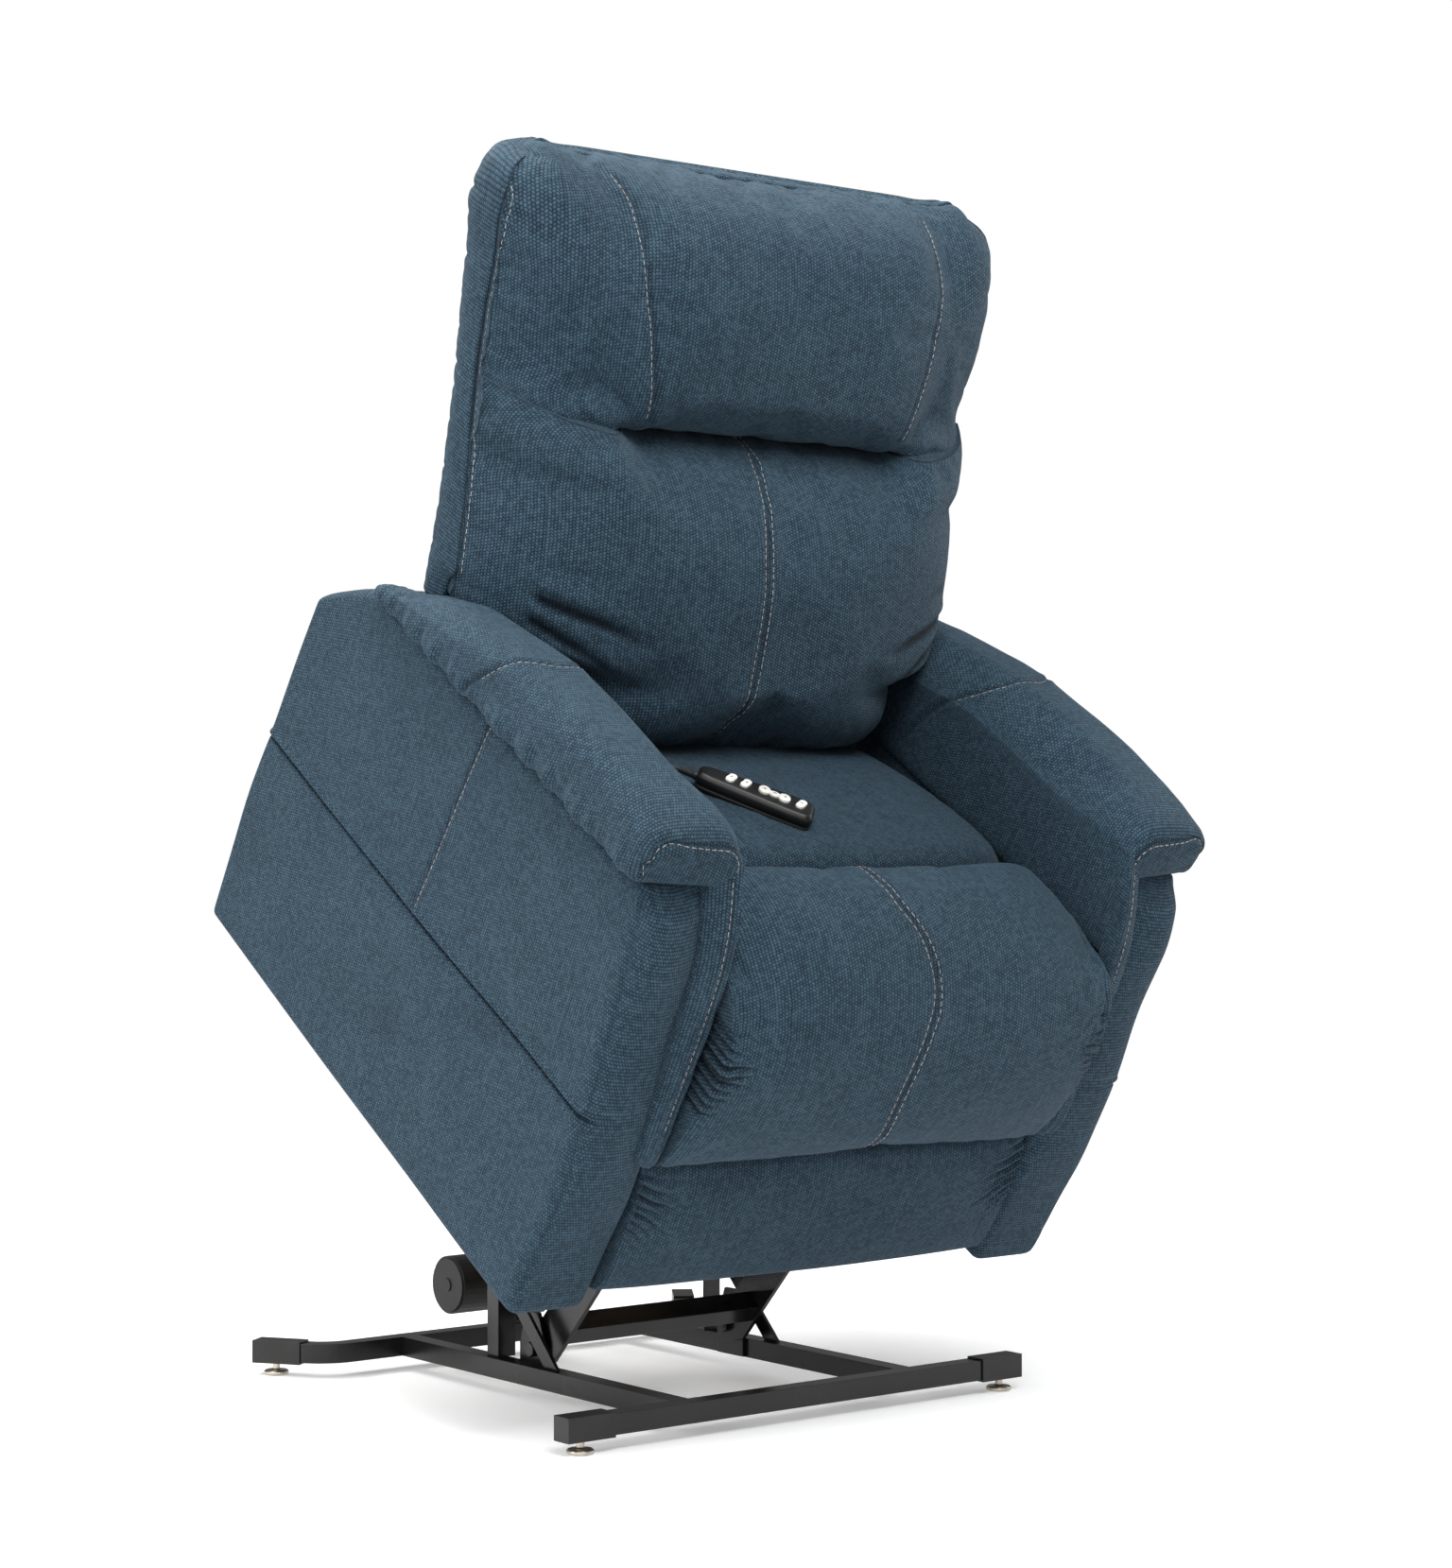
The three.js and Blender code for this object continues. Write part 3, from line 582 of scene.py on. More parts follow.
                # painted shade: darkens the colour along the channel, more for deeper channels
                dark[i] = 0.22 * depth * math.exp(-(d / (width * 0.75)) ** 2)
                P[i] -= N[i] * depth * math.exp(-(d / width) ** 2)
                if lips:
                    P[i] += N[i] * lips * math.exp(-((d - lip_at) / (lip_at * 0.6)) ** 2)
        self.put(P)
        self.shade(dark)
        return self

    def push(self, f):
        """Moves each point along its normal by f(points, normals), in millimetres, and paints shade where points sink
        in more than 1.4 mm.
        """
        P, N = self.get(), self.normals()
        out = f(P, N)
        self.put(P + N * out[:, None])
        # painted shade: the deeper a point is pushed in, the darker its colour
        self.shade((-out - 1.4) / 4.0)
        return self

    def move(self, f):
        """Moves points freely: f(points) gives the new points."""
        self.put(f(self.get()))
        return self


def capsule(r, half, sides=6):
    v, f = [], []
    rings = [(-half, 0.35), (-half * 0.8, 0.9), (0, 1.08), (half * 0.8, 0.9), (half, 0.35)]
    for z, k in rings:
        for j in range(sides):
            a = 2 * math.pi * j / sides
            v.append((math.cos(a) * r * k, math.sin(a) * r * k * 0.8, z))
    for i in range(len(rings) - 1):
        for j in range(sides):
            f.append((i * sides + j, i * sides + (j + 1) % sides, (i + 1) * sides + (j + 1) % sides, (i + 1) * sides + j))
    f.append(tuple(range(sides))[::-1])
    f.append(tuple((len(rings) - 1) * sides + j for j in range(sides)))
    return np.array(v), f


def stitches(name, lines, body, length=6.4, pitch=9.4, r=0.47, lift=0.25):
    """A row of thread stitches along each line: (points, normals) in chair millimetres."""
    cv, cf = capsule(r, length / 2)
    V, F = [], []
    for pts, nor in lines:
        if len(pts) < 3:
            continue
        d = np.concatenate([[0], np.cumsum(np.linalg.norm(np.diff(pts, axis=0), axis=1))])
        for at in np.arange(pitch / 2, d[-1] - pitch / 3, pitch):
            at = at + RNG.uniform(-0.5, 0.5)
            p = np.array([np.interp(at, d, pts[:, k]) for k in range(3)])
            nn = np.array([np.interp(at, d, nor[:, k]) for k in range(3)])
            a = np.array([np.interp(at - length / 2, d, pts[:, k]) for k in range(3)])
            b = np.array([np.interp(at + length / 2, d, pts[:, k]) for k in range(3)])
            z = b - a
            z /= np.linalg.norm(z) + 1e-9
            nn -= z * (nn @ z)
            nn /= np.linalg.norm(nn) + 1e-9
            x = np.cross(nn, z)
            R = np.stack([x, nn, z])
            base = len(V)
            V.extend((cv @ R + p + nn * lift).tolist())
            F.extend([tuple(base + i for i in q) for q in cf])
    me = bpy.data.meshes.new(name)
    me.from_pydata([tuple(p) for p in world(V)], [], F)
    me.polygons.foreach_set("use_smooth", np.ones(len(me.polygons), bool))
    me.materials.append(THREAD)
    o = bpy.data.objects.new(name, me)
    scene.collection.objects.link(o)
    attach(o, body)
    return o


def finish_soft(p, body, *nodes, fill=0.7):
    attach(p.o, body)
    if nodes:
        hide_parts(*nodes)


def fine(n, ends, zones):
    """lin(n, ends) with extra values between each zone's two ends."""
    v = list(lin(n, ends))
    for a, b, m in zones:
        v = [q for q in v if not a < q < b] + list(np.linspace(max(a, 0), min(b, 1), m))
    return np.unique(np.round(v, 6))


def lin(n, ends=0.0):
    """0 to 1 in n steps, closer together at the ends when ends is over 0."""
    t = np.linspace(0, 1, n + 1)
    return t + ends * (smooth(t) - t) if ends else t


def at_fraction(prof, t):
    n = len(prof) - 1
    x = np.clip(t, 0, 1) * n
    i = np.minimum(x.astype(int), n - 1)
    f = (x - i)[:, None]
    return prof[i] * (1 - f) + prof[i + 1] * f


# ------------------------------------------------------------------ handset lead (free cord)
HAND = dict(x=-95.0, s=275.0, b=527.2, h=23.0)
HD = np.array([0.757, -0.653])
hb = HAND["b"] + 11


def in_hand(p):
    """Handset coordinates (u along it, v across, height) to chair millimetres."""
    p = np.atleast_2d(np.asarray(p, float))
    a = math.atan2(HD[1], HD[0])
    c, s_ = math.cos(a), math.sin(a)
    return np.stack([HAND["x"] + p[:, 0] * c - p[:, 1] * s_, HAND["s"] + p[:, 0] * s_ + p[:, 1] * c, p[:, 2]], 1)


LEAD = [(-170.6, 340.2, hb), (-182, 349.5, hb - 1), (-200, 360, 530), (-225, 368, 519), (-252, 372, 508), (-275, 374, 496), (-290, 375, 476), (-295.5, 375, 448),
        (-296, 375, 400), (-296, 375, 330), (-296, 375, 260), (-296, 375, 200), (-294, 376, 175), (-292, 377, 150.4)]
lead_line = world(curve(LEAD, 60))
cd = bpy.data.curves.new("lead", "CURVE")
cd.dimensions = "3D"
cd.bevel_depth = 0.003
cd.bevel_resolution = 5
cd.use_fill_caps = True
sp = cd.splines.new("POLY")
sp.points.add(len(lead_line) - 1)
for q, p in zip(sp.points, lead_line):
    q.co = (*p, 1)
lead = bpy.data.objects.new("lead", cd)
cd.materials.append(RUBBER)
scene.collection.objects.link(lead)
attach(lead, "chair_body")
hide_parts("handset_lead")


def lathe(name, prof, sides, to_chair, mat):
    """A turned solid: prof is (u, radius) pairs along the handset's u axis."""
    V, F = [], []
    for u, r in prof:
        for j in range(sides):
            a = 2 * math.pi * j / sides
            V.append((u, math.cos(a) * r, hb + math.sin(a) * r))
    for i in range(len(prof) - 1):
        for j in range(sides):
            F.append((i * sides + j, i * sides + (j + 1) % sides, (i + 1) * sides + (j + 1) % sides, (i + 1) * sides + j))
    F += [tuple(range(sides))[::-1], tuple((len(prof) - 1) * sides + j for j in range(sides))]
    me = bpy.data.meshes.new(name)
    me.from_pydata([tuple(p) for p in world(to_chair(V))], [], F)
    me.polygons.foreach_set("use_smooth", np.ones(len(me.polygons), bool))
    me.materials.append(mat)
    o = bpy.data.objects.new(name, me)
    scene.collection.objects.link(o)
    return o


rel = [(-74.0, 5.6), (-76.5, 5.6), (-77, 5.2)]
for k in range(8):
    u = -78 - k * 2.6
    r = 5.2 - 0.19 * k
    rel += [(u, r), (u - 1.5, r), (u - 1.6, r - 0.75), (u - 2.5, r - 0.75)]
rel += [(-99.2, 3.5)]
relief = lathe("strain_relief", rel[::-1], 20, in_hand, RUBBER)
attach(relief, "chair_body")
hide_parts("handset_strain_relief")


# ------------------------------------------------------------------ handset and buttons
def ring_loft(name, rings, mat, to_chair=in_hand, cap=True):
    n = len(rings[0])
    V = np.concatenate(rings)
    F = []
    for i in range(len(rings) - 1):
        for j in range(n):
            F.append((i * n + j, i * n + (j + 1) % n, (i + 1) * n + (j + 1) % n, (i + 1) * n + j))
    if cap:
        F += [tuple(range(n))[::-1], tuple((len(rings) - 1) * n + j for j in range(n))]
    me = bpy.data.meshes.new(name)
    me.from_pydata([tuple(p) for p in world(to_chair(V))], [], F)
    me.polygons.foreach_set("use_smooth", np.ones(len(me.polygons), bool))
    me.materials.append(mat)
    o = bpy.data.objects.new(name, me)
    scene.collection.objects.link(o)
    return o


def rounded_plan(pts, n, r):
    """Closed outline with rounded corners, n points evenly spaced."""
    pts = np.asarray(pts, float)
    out = []
    m = len(pts)
    for i in range(m):
        p, a, b = pts[i], pts[i - 1], pts[(i + 1) % m]
        da, db = a - p, b - p
        la, lb = np.linalg.norm(da), np.linalg.norm(db)
        rr = min(r, la * 0.45, lb * 0.45)
        p0, p2 = p + da / la * rr, p + db / lb * rr
        for t in np.linspace(0, 1, 7):
            out.append((1 - t) ** 2 * p0 + 2 * t * (1 - t) * p + t * t * p2)
    out = np.array(out)
    cl = np.vstack([out, out[:1]])
    d = np.concatenate([[0], np.cumsum(np.linalg.norm(np.diff(cl, axis=0), axis=1))])
    want = np.linspace(0, d[-1], n, endpoint=False)
    return np.stack([np.interp(want, d, cl[:, k]) for k in range(2)], 1)


def inset(plan, d):
    c = np.roll(plan, -1, 0) - np.roll(plan, 1, 0)
    nrm = np.stack([c[:, 1], -c[:, 0]], 1)
    nrm /= np.linalg.norm(nrm, axis=1, keepdims=True)
    area = np.sum(plan[:, 0] * np.roll(plan[:, 1], -1) - plan[:, 1] * np.roll(plan[:, 0], -1))
    return plan - nrm * d * (1 if area > 0 else -1)


plan = rounded_plan([(-75, -14), (-62, -18), (40, -25), (68, -25), (75, -18), (75, 18), (68, 25), (40, 25), (-62, 18), (-75, 14)], 140, 6)
b0, b1 = HAND["b"] + 0.3, HAND["b"] + HAND["h"]
rings = []
for t in np.linspace(0, 1, 7):
    a = t * math.pi / 2
    rings.append(np.column_stack([inset(plan, 4 * (1 - math.sin(a))), np.full(140, b0 + 4 * (1 - math.cos(a)))]))
rings.append(np.column_stack([inset(plan, 0.2), np.full(140, b0 + 6.6)]))
rings.append(np.column_stack([inset(plan, 0.9), np.full(140, b0 + 6.9)]))
rings.append(np.column_stack([inset(plan, 0.9), np.full(140, b0 + 7.4)]))
rings.append(np.column_stack([inset(plan, 0.2), np.full(140, b0 + 7.7)]))
rings.append(np.column_stack([inset(plan, 0.1), np.full(140, b1 - 5.5)]))
rings.append(np.column_stack([inset(plan, 0.5), np.full(140, b1 - 4.8)]))
rings.append(np.column_stack([inset(plan, 3.4), np.full(140, b1 - 1.6)]))
rings.append(np.column_stack([inset(plan, 4.2), np.full(140, b1 - 0.9)]))
rings.append(np.column_stack([inset(plan, 5.2), np.full(140, b1 - 0.4)]))
rings.append(np.column_stack([inset(plan, 9.0), np.full(140, b1 + 0.1)]))
hand = ring_loft("handset_shell", rings, PLAST)
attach(hand, "chair_body")
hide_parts("handset_body")


def key_plan(kind, n=40):
    """Outline of one key in handset millimetres about its own centre."""
    t = np.linspace(0, 2 * math.pi, n, endpoint=False)
    if kind == "long":  # a stadium across the handset
        p = np.stack([4.3 * np.cos(t), 4.6 * np.sin(t) + 4.6 * np.sign(np.sin(t)) * (np.abs(np.sin(t)) > 1e-6)], 1)
    elif kind == "fan":  # a wide round key
        p = np.stack([6.0 * np.cos(t), 8.4 * np.sin(t)], 1) * (1 + 0.06 * np.cos(2 * t))[:, None]
    else:  # small middle key, waisted
        p = np.stack([6.6 * np.cos(t), 4.6 * np.sin(t)], 1) * (1 - 0.10 * np.cos(2 * t))[:, None]
    return p


def button(name, node, u, v, kind, turn, sym, rise=0.0):
    plan_ = key_plan(kind) * 1.22
    area = np.sum(plan_[:, 0] * np.roll(plan_[:, 1], -1) - plan_[:, 1] * np.roll(plan_[:, 0], -1))
    c, s_ = math.cos(turn), math.sin(turn)
    rings = []
    for d, z in ((0.5, -1.5), (0, -0.2), (0, 1.9), (0.35, 2.8), (1.1, 3.35), (2.2, 3.5)):
        k_ = 1 - d / np.maximum(np.linalg.norm(plan_, axis=1, keepdims=True), 1)
        q = plan_ * k_
        rings.append(np.column_stack([u + q[:, 0] * c - q[:, 1] * s_, v + q[:, 0] * s_ + q[:, 1] * c, np.full(len(q), b1 + z + rise)]))
    o = ring_loft(name, rings, WHITE)
    # a small raised mark, a generic arrow or bar
    P = np.array(sym, float) * 0.9
    lo_r = np.column_stack([u + P[:, 0] * c - P[:, 1] * s_, v + P[:, 0] * s_ + P[:, 1] * c, np.full(len(P), b1 + 3.2 + rise)])
    hi_r = lo_r + np.array([0, 0, 0.6])
    n_ = len(P)
    m2 = bpy.data.meshes.new(name + "_mark")
    m2.from_pydata([tuple(p) for p in world(in_hand(np.concatenate([lo_r, hi_r])))], [], [tuple(range(n_))[::-1], tuple(range(n_, 2 * n_))] + [(i, (i + 1) % n_, (i + 1) % n_ + n_, i + n_) for i in range(n_)])
    m2.materials.append(SYMBOL)
    s2 = bpy.data.objects.new(name + "_mark", m2)
    scene.collection.objects.link(s2)
    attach(s2, node)
    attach(o, node)
    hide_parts(node)
    return o


arrow = [(-1.6, -2.4), (1.8, 0.0), (-1.6, 2.4)]
arrow_d = [(1.6, -2.4), (1.6, 2.4), (-1.8, 0.0)]
bar = [(-2.2, -0.7), (2.2, -0.7), (2.2, 0.7), (-2.2, 0.7)]
button("key_back_up", "button_back_up", -35, 0.5, "long", -0.3, arrow)
button("key_back_down", "button_back_down", -16, 0.5, "long", -0.3, arrow_d)
button("key_feet_up", "button_feet_up", 8, 1.0, "fan", -0.1, arrow, 0.5)
button("key_feet_down", "button_feet_down", 21, 0, "waist", 0, bar)
button("key_stand", "button_stand", 34, -1.0, "fan", -0.1, arrow_d, 0.5)
button("key_sit", "button_sit", 56, 0.5, "long", -0.3, bar)

# ------------------------------------------------------------------ back: outer cover, lumbar cushion, head pillow
REAR = np.array([(628, 345), (645, 450), (672, 601), (702, 711), (749, 842), (795, 947), (834, 1045), (833, 1085), (833, 1130)], float)
EDGE = np.array([(612, 345), (608, 450), (596, 600), (606, 657), (638, 740), (697, 867), (724, 950), (740, 1023), (752, 1088), (750, 1130)], float)


def rear_s(b):
    return np.interp(b, REAR[:, 1], REAR[:, 0])


def edge_s(b):
    return np.interp(b, EDGE[:, 1], EDGE[:, 0])


def back_half(b):
    """Half width of the back at height b: narrow between the arms, wide above them."""
    return 300 + 84 * smooth((b - 582) / 20)


def top_b(x):
    return 1119 - 17 * np.clip((np.abs(x) - 250) / 134, 0, 1) ** 2


def cover_pos(a, b, c):
    u = 2 * a - 1
    bb0 = 348.0
    hb_ = bb0 + (1119 - bb0) * b
    half = back_half(hb_)
    x = u * half
    h = bb0 + (top_b(x) - bb0) * b
    f = edge_s(h) - 1.5 + 16 * smooth((half - 1 - np.abs(x)) / 9)
    f = np.where(h < 640, np.maximum(f, 614 + 0 * h), f)
    r = rear_s(h) - 1
    # the front top edge leans back under the head pillow, the rear edges are rounded
    lean = 22 + 30 * smooth((378 - np.abs(x)) / 40)
    f = f + lean * np.clip((h - (top_b(x) - 34)) / 34, 0, 1) ** 2
    round_x = 14 * (np.clip((np.abs(x) - (half - 14)) / 14, 0, 1)) ** 2
    round_t = 13 * np.clip((h - (top_b(x) - 15)) / 15, 0, 1) ** 2
    s = f + (r - np.maximum(round_x, round_t) * smooth(c) - f) * c
    bulge = 1.0 + 4.0 * np.sin(np.pi * np.clip(c, 0, 1))
    bulge = bulge * (np.abs(u) > 0.999) * (1 - 0.9 * np.clip((h - (top_b(x) - 30)) / 30, 0, 1) ** 2)
    return np.stack([x + np.sign(u) * bulge, s, h], 1)


def raise_top(P):
    """The crown of the back stands a little higher and its corners are full and round."""
    ax, b = np.abs(P[:, 0]), P[:, 2]
    Q = P.copy()
    t = np.clip((b - (top_b(P[:, 0]) - 40)) / 40, 0, 0.985)
    Q[:, 2] += 12 * smooth((b - 1030) / 80) + 12 * smooth((ax - 280) / 80) * smooth((b - 1045) / 50)
    Q[:, 0] += np.sign(P[:, 0]) * smooth((ax - 300) / 84) * (6 * smooth((b - 1000) / 60) - 36 * (1 - np.sqrt(1 - t * t)))
    return Q


back = Soft("back_cover", lin(64, 0.4), lin(120, 0.15), lin(12), cover_pos, FAB)
back.subdivide()


def boxing_puckers(P, N):
    side = (np.abs(P[:, 0]) > 378) & (np.abs(N[:, 0]) > 0.5)
    x, s_, b_ = P.T
    r = rear_s(b_) - s_
    out = 1.6 * np.sin(np.clip(r / 78, 0, 1) * np.pi)
    # short gathers run in from the rear seam
    out = out - 1.1 * np.exp(-np.clip(r, 0, 99) / 16) * np.clip(np.sin(b_ * 0.31 + 3 * np.sin(b_ * 0.021)), -0.2, 1)
    for b0_, L, amp, sl in ((1062, 62, 3.6, 0.16), (1030, 34, 2.2, 0.1), (984, 46, 3.0, 0.08), (940, 30, 1.8, -0.05), (905, 40, 2.4, 0.06), (868, 56, 3.2, -0.08), (842, 34, 2.4, -0.12), (800, 28, 1.6, 0.05), (748, 44, 2.6, -0.06), (700, 30, 1.6, 0.1), (655, 34, 2.2, 0.12)):
        t = np.clip(r / L, 0, 1.2)
        out = out - amp * np.clip(1 - t, 0, 1) ** 0.7 * np.exp(-((b_ - b0_ - sl * r) / 3.6) ** 2)
    return side * out


back.move(raise_top)
back.push(boxing_puckers)
for x_ in (-352, 352):
    pts, nor = back.snap([(x_, 700, 640), (x_, 760, 800), (x_, 850, 1000), (x_, 860, 1112)], along=(0, -1, 0))
    back.groove(pts, 2.4, 3.2)
pts, nor = back.snap([(-352, 860, 1108), (-200, 860, 1114), (0, 860, 1116), (200, 860, 1114), (352, 860, 1108)], along=(0, -1, 0))
back.groove(pts, 2.4, 3.2)
finish_soft(back, "backrest", "back_shell", fill=0.9)

LUM_C = curve([(520, 484), (472, 492), (440, 506), (419, 526), (412, 550), (416, 576), (428, 604), (442, 642), (457, 688), (470, 724), (487, 762), (510, 802), (541, 831), (588, 845), (652, 850)], 200)
LUM_E = curve([(580, 486), (560, 494), (549, 512), (546, 534), (551, 562), (578, 585), (597, 604), (603, 630), (608, 657), (622, 700), (645, 756), (668, 806), (684, 838), (693, 856), (697, 863)], 200)


def lum_half(b):
    return 299 + 85 * smooth((b - 588) / 32)


def flush(x, F, low):
    """Outside |x| 205-255 the two front panels meet flush: fills the valley between them."""
    ax = np.abs(x)
    u = ax / 384
    kl = 1 - np.clip(u, 0, 1) ** 5.0
    s_low = 660 + (513 - 660) * kl
    s_high = 636 + (700 - 636) * np.clip((ax - 250) / 133, 0, 1) ** 4.2
    t = np.clip((F[:, 1] - 805) / 110, 0, 1)
    line = s_low + (s_high - s_low) * smooth(t) + 3.0 * np.exp(-np.abs(F[:, 1] - 865) / 4)
    line = np.minimum(line, edge_s(F[:, 1]) - 1)
    w_ = smooth((ax - 172) / 88) * (smooth((F[:, 1] - 790) / 25) if low else smooth((935 - F[:, 1]) / 25))
    out = F.copy()
    out[:, 0] = F[:, 0] + (np.minimum(F[:, 0], line) - F[:, 0]) * w_
    return out


def lum_pos(a, b, c):
    u = 2 * a - 1
    Cn, Ed = at_fraction(LUM_C, b), at_fraction(LUM_E, b)
    k = (1 - np.abs(u) ** 5.0)[:, None]
    F = Ed + (Cn - Ed) * k
    F = flush(u * 384, F, True)
    F[:, 1] += 14 * smooth((np.abs(u) * 384 - 175) / 90) * smooth((F[:, 1] - 790) / 55)
    half = lum_half(F[:, 1])
    R = np.stack([np.maximum(rear_s(F[:, 1]) - 34, F[:, 0] + 4), F[:, 1]], 1)
    q = R + (F - R) * (0.12 + 0.88 * c)[:, None]
    return np.stack([u * half * (0.985 + 0.015 * c), q[:, 0], q[:, 1]], 1)


lum = Soft("lumbar_cushion_cover", lin(84, 0.45), lin(70), lin(6), lum_pos)


def pin_rear(par, P):
    wts = np.where(par[:, 2] <= 0.51, 1.0, 0.0)
    edge = np.minimum(par[:, 0], 1 - par[:, 0])
    wts = np.maximum(wts, np.where((edge < 0.004), 0.96, 0))
    wts = np.maximum(wts, np.where((par[:, 1] < 0.004) | (par[:, 1] > 0.996), 0.96, 0))
    return wts


lum.pressure(cap=22, pressure=2.4, pin=pin_rear, shrink=-0.015)
lum.subdivide()


def lum_folds(P, N):
    x, s, b = P.T
    front = np.clip(-N[:, 1], 0, 1)
    out = np.zeros(len(P))
    # deep wrinkles where each arm presses the lower corners
    for sg in (-1, 1):
        X = x * sg
        for (x0, b0_, x1, b1_, amp, wd) in ((318, 668, 190, 646, 12.0, 8), (322, 640, 210, 592, 10.0, 7), (312, 706, 250, 706, 3.0, 7), (300, 560, 250, 556, 3.0, 6)):
            t = np.clip(((X - x0) * (x1 - x0) + (b - b0_) * (b1_ - b0_)) / ((x1 - x0) ** 2 + (b1_ - b0_) ** 2), 0, 1)
            px, pb = x0 + t * (x1 - x0), b0_ + t * (b1_ - b0_) + 6 * np.sin(t * 3.0)
            d2 = (X - px) ** 2 + (b - pb) ** 2
            out -= amp * (1 - t) ** 0.7 * np.exp(-d2 / wd ** 2)
            out += amp * 0.5 * (1 - t) * np.exp(-((X - px) ** 2 + (b - pb - wd * 1.9) ** 2) / (wd * 1.5) ** 2)
    e = lum_half(b) - np.abs(x)
    out += 1.4 * np.exp(-np.clip(e, 0, 200) / 22) * np.sin(b * 0.21 + 2 * np.sin(b * 0.05)) * (b > 520)
    out += 1.2 * np.sin(x * 0.021 + b * 0.013) * np.sin(b * 0.017 - x * 0.006)
    # gathers under the fold and above the seat
    out += 1.6 * np.exp(-np.clip(b - 520, 0, 300) / 20) * np.sin(x * 0.16 + 2 * np.sin(x * 0.03))
    return out * front


lum.push(lum_folds)
LUM_ST = [(-14, 862), (-15, 850), (-28, 814), (-37, 768), (-37, 725), (-36, 691), (-36, 645), (-40, 600), (-46, 560), (-50, 530)]
g1, n1 = lum.snap([(x_ - 6, 300, b_) for x_, b_ in LUM_ST], along=(0, 1, 0))
g2, n2 = lum.snap([(x_ + 6, 300, b_) for x_, b_ in LUM_ST], along=(0, 1, 0))
gm, _ = lum.snap([(x_, 300, b_) for x_, b_ in LUM_ST], along=(0, 1, 0))
lum.groove(gm, 2.2, 4.5, lips=0.9, lip_at=10)
g1, n1 = lum.snap([(x_ - 6, 300, b_) for x_, b_ in LUM_ST], along=(0, 1, 0))
g2, n2 = lum.snap([(x_ + 6, 300, b_) for x_, b_ in LUM_ST], along=(0, 1, 0))
lum.o.data.update()
finish_soft(lum, "backrest", "lumbar_cushion", fill=0.75)
stitches("lumbar_stitching", [(g1, n1), (g2, n2)], "backrest")

HEAD_C = curve([(662, 852), (632, 847), (607, 850), (592, 864), (591, 895), (600, 940), (608, 972), (620, 1010), (634, 1043), (657, 1079), (692, 1105), (738, 1121), (780, 1128), (806, 1124), (818, 1112)], 200)
HEAD_M = curve([(682, 866), (662, 868), (648, 878), (642, 900), (641, 934), (646, 976), (656, 1018), (672, 1054), (700, 1087), (738, 1110), (776, 1123), (804, 1121), (817, 1109)], 200)
HEAD_E = curve([(698, 866), (692, 870), (692, 884), (697, 906), (707, 940), (719, 980), (731, 1018), (741, 1050), (751, 1074), (763, 1088), (780, 1097), (800, 1099), (816, 1092)], 200)


def head_pos(a, b, c):
    u = 2 * a - 1
    x = u * 383.0
    Cn, Md, Ed = at_fraction(HEAD_C, b), at_fraction(HEAD_M, b), at_fraction(HEAD_E, b)
    k1 = smooth((275 - np.abs(x)) / 90)[:, None]
    base = Md + (Cn - Md) * k1
    e = (np.clip((np.abs(x) - 250) / 133, 0, 1) ** 4.2)[:, None]
    F = base + (Ed - base) * e
    F = flush(x, F, False)
    # the top corners are rounded
    R = np.stack([np.maximum(np.minimum(rear_s(F[:, 1]) - 30, 832), F[:, 0] + 3), np.minimum(F[:, 1], 1118)], 1)
    q = R + (F - R) * (0.12 + 0.88 * c)[:, None]
    return np.stack([x * (0.985 + 0.015 * c), q[:, 0], q[:, 1]], 1)


head = Soft("head_pillow_cover", lin(92, 0.4), lin(64), lin(6), head_pos)
head.pressure(cap=20, pressure=2.2, pin=pin_rear, shrink=-0.015)
head.subdivide()


def head_folds(P, N):
    x, s, b = P.T
    front = np.clip(-N[:, 1] + 0.4 * np.abs(N[:, 2]), 0, 1)
    out = 1.3 * np.sin(x * 0.016 + b * 0.011) * np.sin(b * 0.019 - x * 0.005)
    e = 383 - np.abs(x)
    out += 1.2 * np.exp(-np.clip(e, 0, 200) / 20) * np.sin(b * 0.23 + 2 * np.sin(b * 0.05))
    # creases running in from the boxing seam
    for sg in (-1, 1):
        X = x * sg
        for (x0, b0_, x1, b1_, amp, wd) in ((383, 1068, 318, 1040, 3.4, 6), (383, 1040, 340, 1006, 2.0, 5), (383, 890, 350, 884, 2.0, 6)):
            t = np.clip(((X - x0) * (x1 - x0) + (b - b0_) * (b1_ - b0_)) / ((x1 - x0) ** 2 + (b1_ - b0_) ** 2), 0, 1)
            d2 = (X - x0 - t * (x1 - x0)) ** 2 + (b - b0_ - t * (b1_ - b0_)) ** 2
            out -= amp * (1 - t) ** 0.7 * np.exp(-d2 / wd ** 2)
    out += 1.3 * np.exp(-np.clip(1120 - b, 0, 300) / 16) * np.sin(x * 0.14 + 2 * np.sin(x * 0.027)) * (s > 690)
    return out * front


head.move(raise_top)
head.push(head_folds)
HEAD_L = [(-252, 1127), (-244, 1112), (-242, 1090), (-236, 1044), (-226, 996), (-216, 950), (-208, 915), (-203, 886)]
HEAD_R = [(x_ * -1, b_) for x_, b_ in HEAD_L]
head_lines = []
for line, sg in ((HEAD_L, -1), (HEAD_R, 1)):
    q, _ = head.snap([(x_ - sg * 4, 300, b_) for x_, b_ in line], along=(0, 1, 0))
    head.groove(q, 2.4, 3.6, lips=0.8, lip_at=9)
for line, sg in ((HEAD_L, -1), (HEAD_R, 1)):
    head_lines.append(head.snap([(x_ + sg * 2, 300, b_) for x_, b_ in line], along=(0, 1, 0)))
finish_soft(head, "backrest", "head_pillow", fill=0.8)
stitches("head_stitching", head_lines, "backrest")

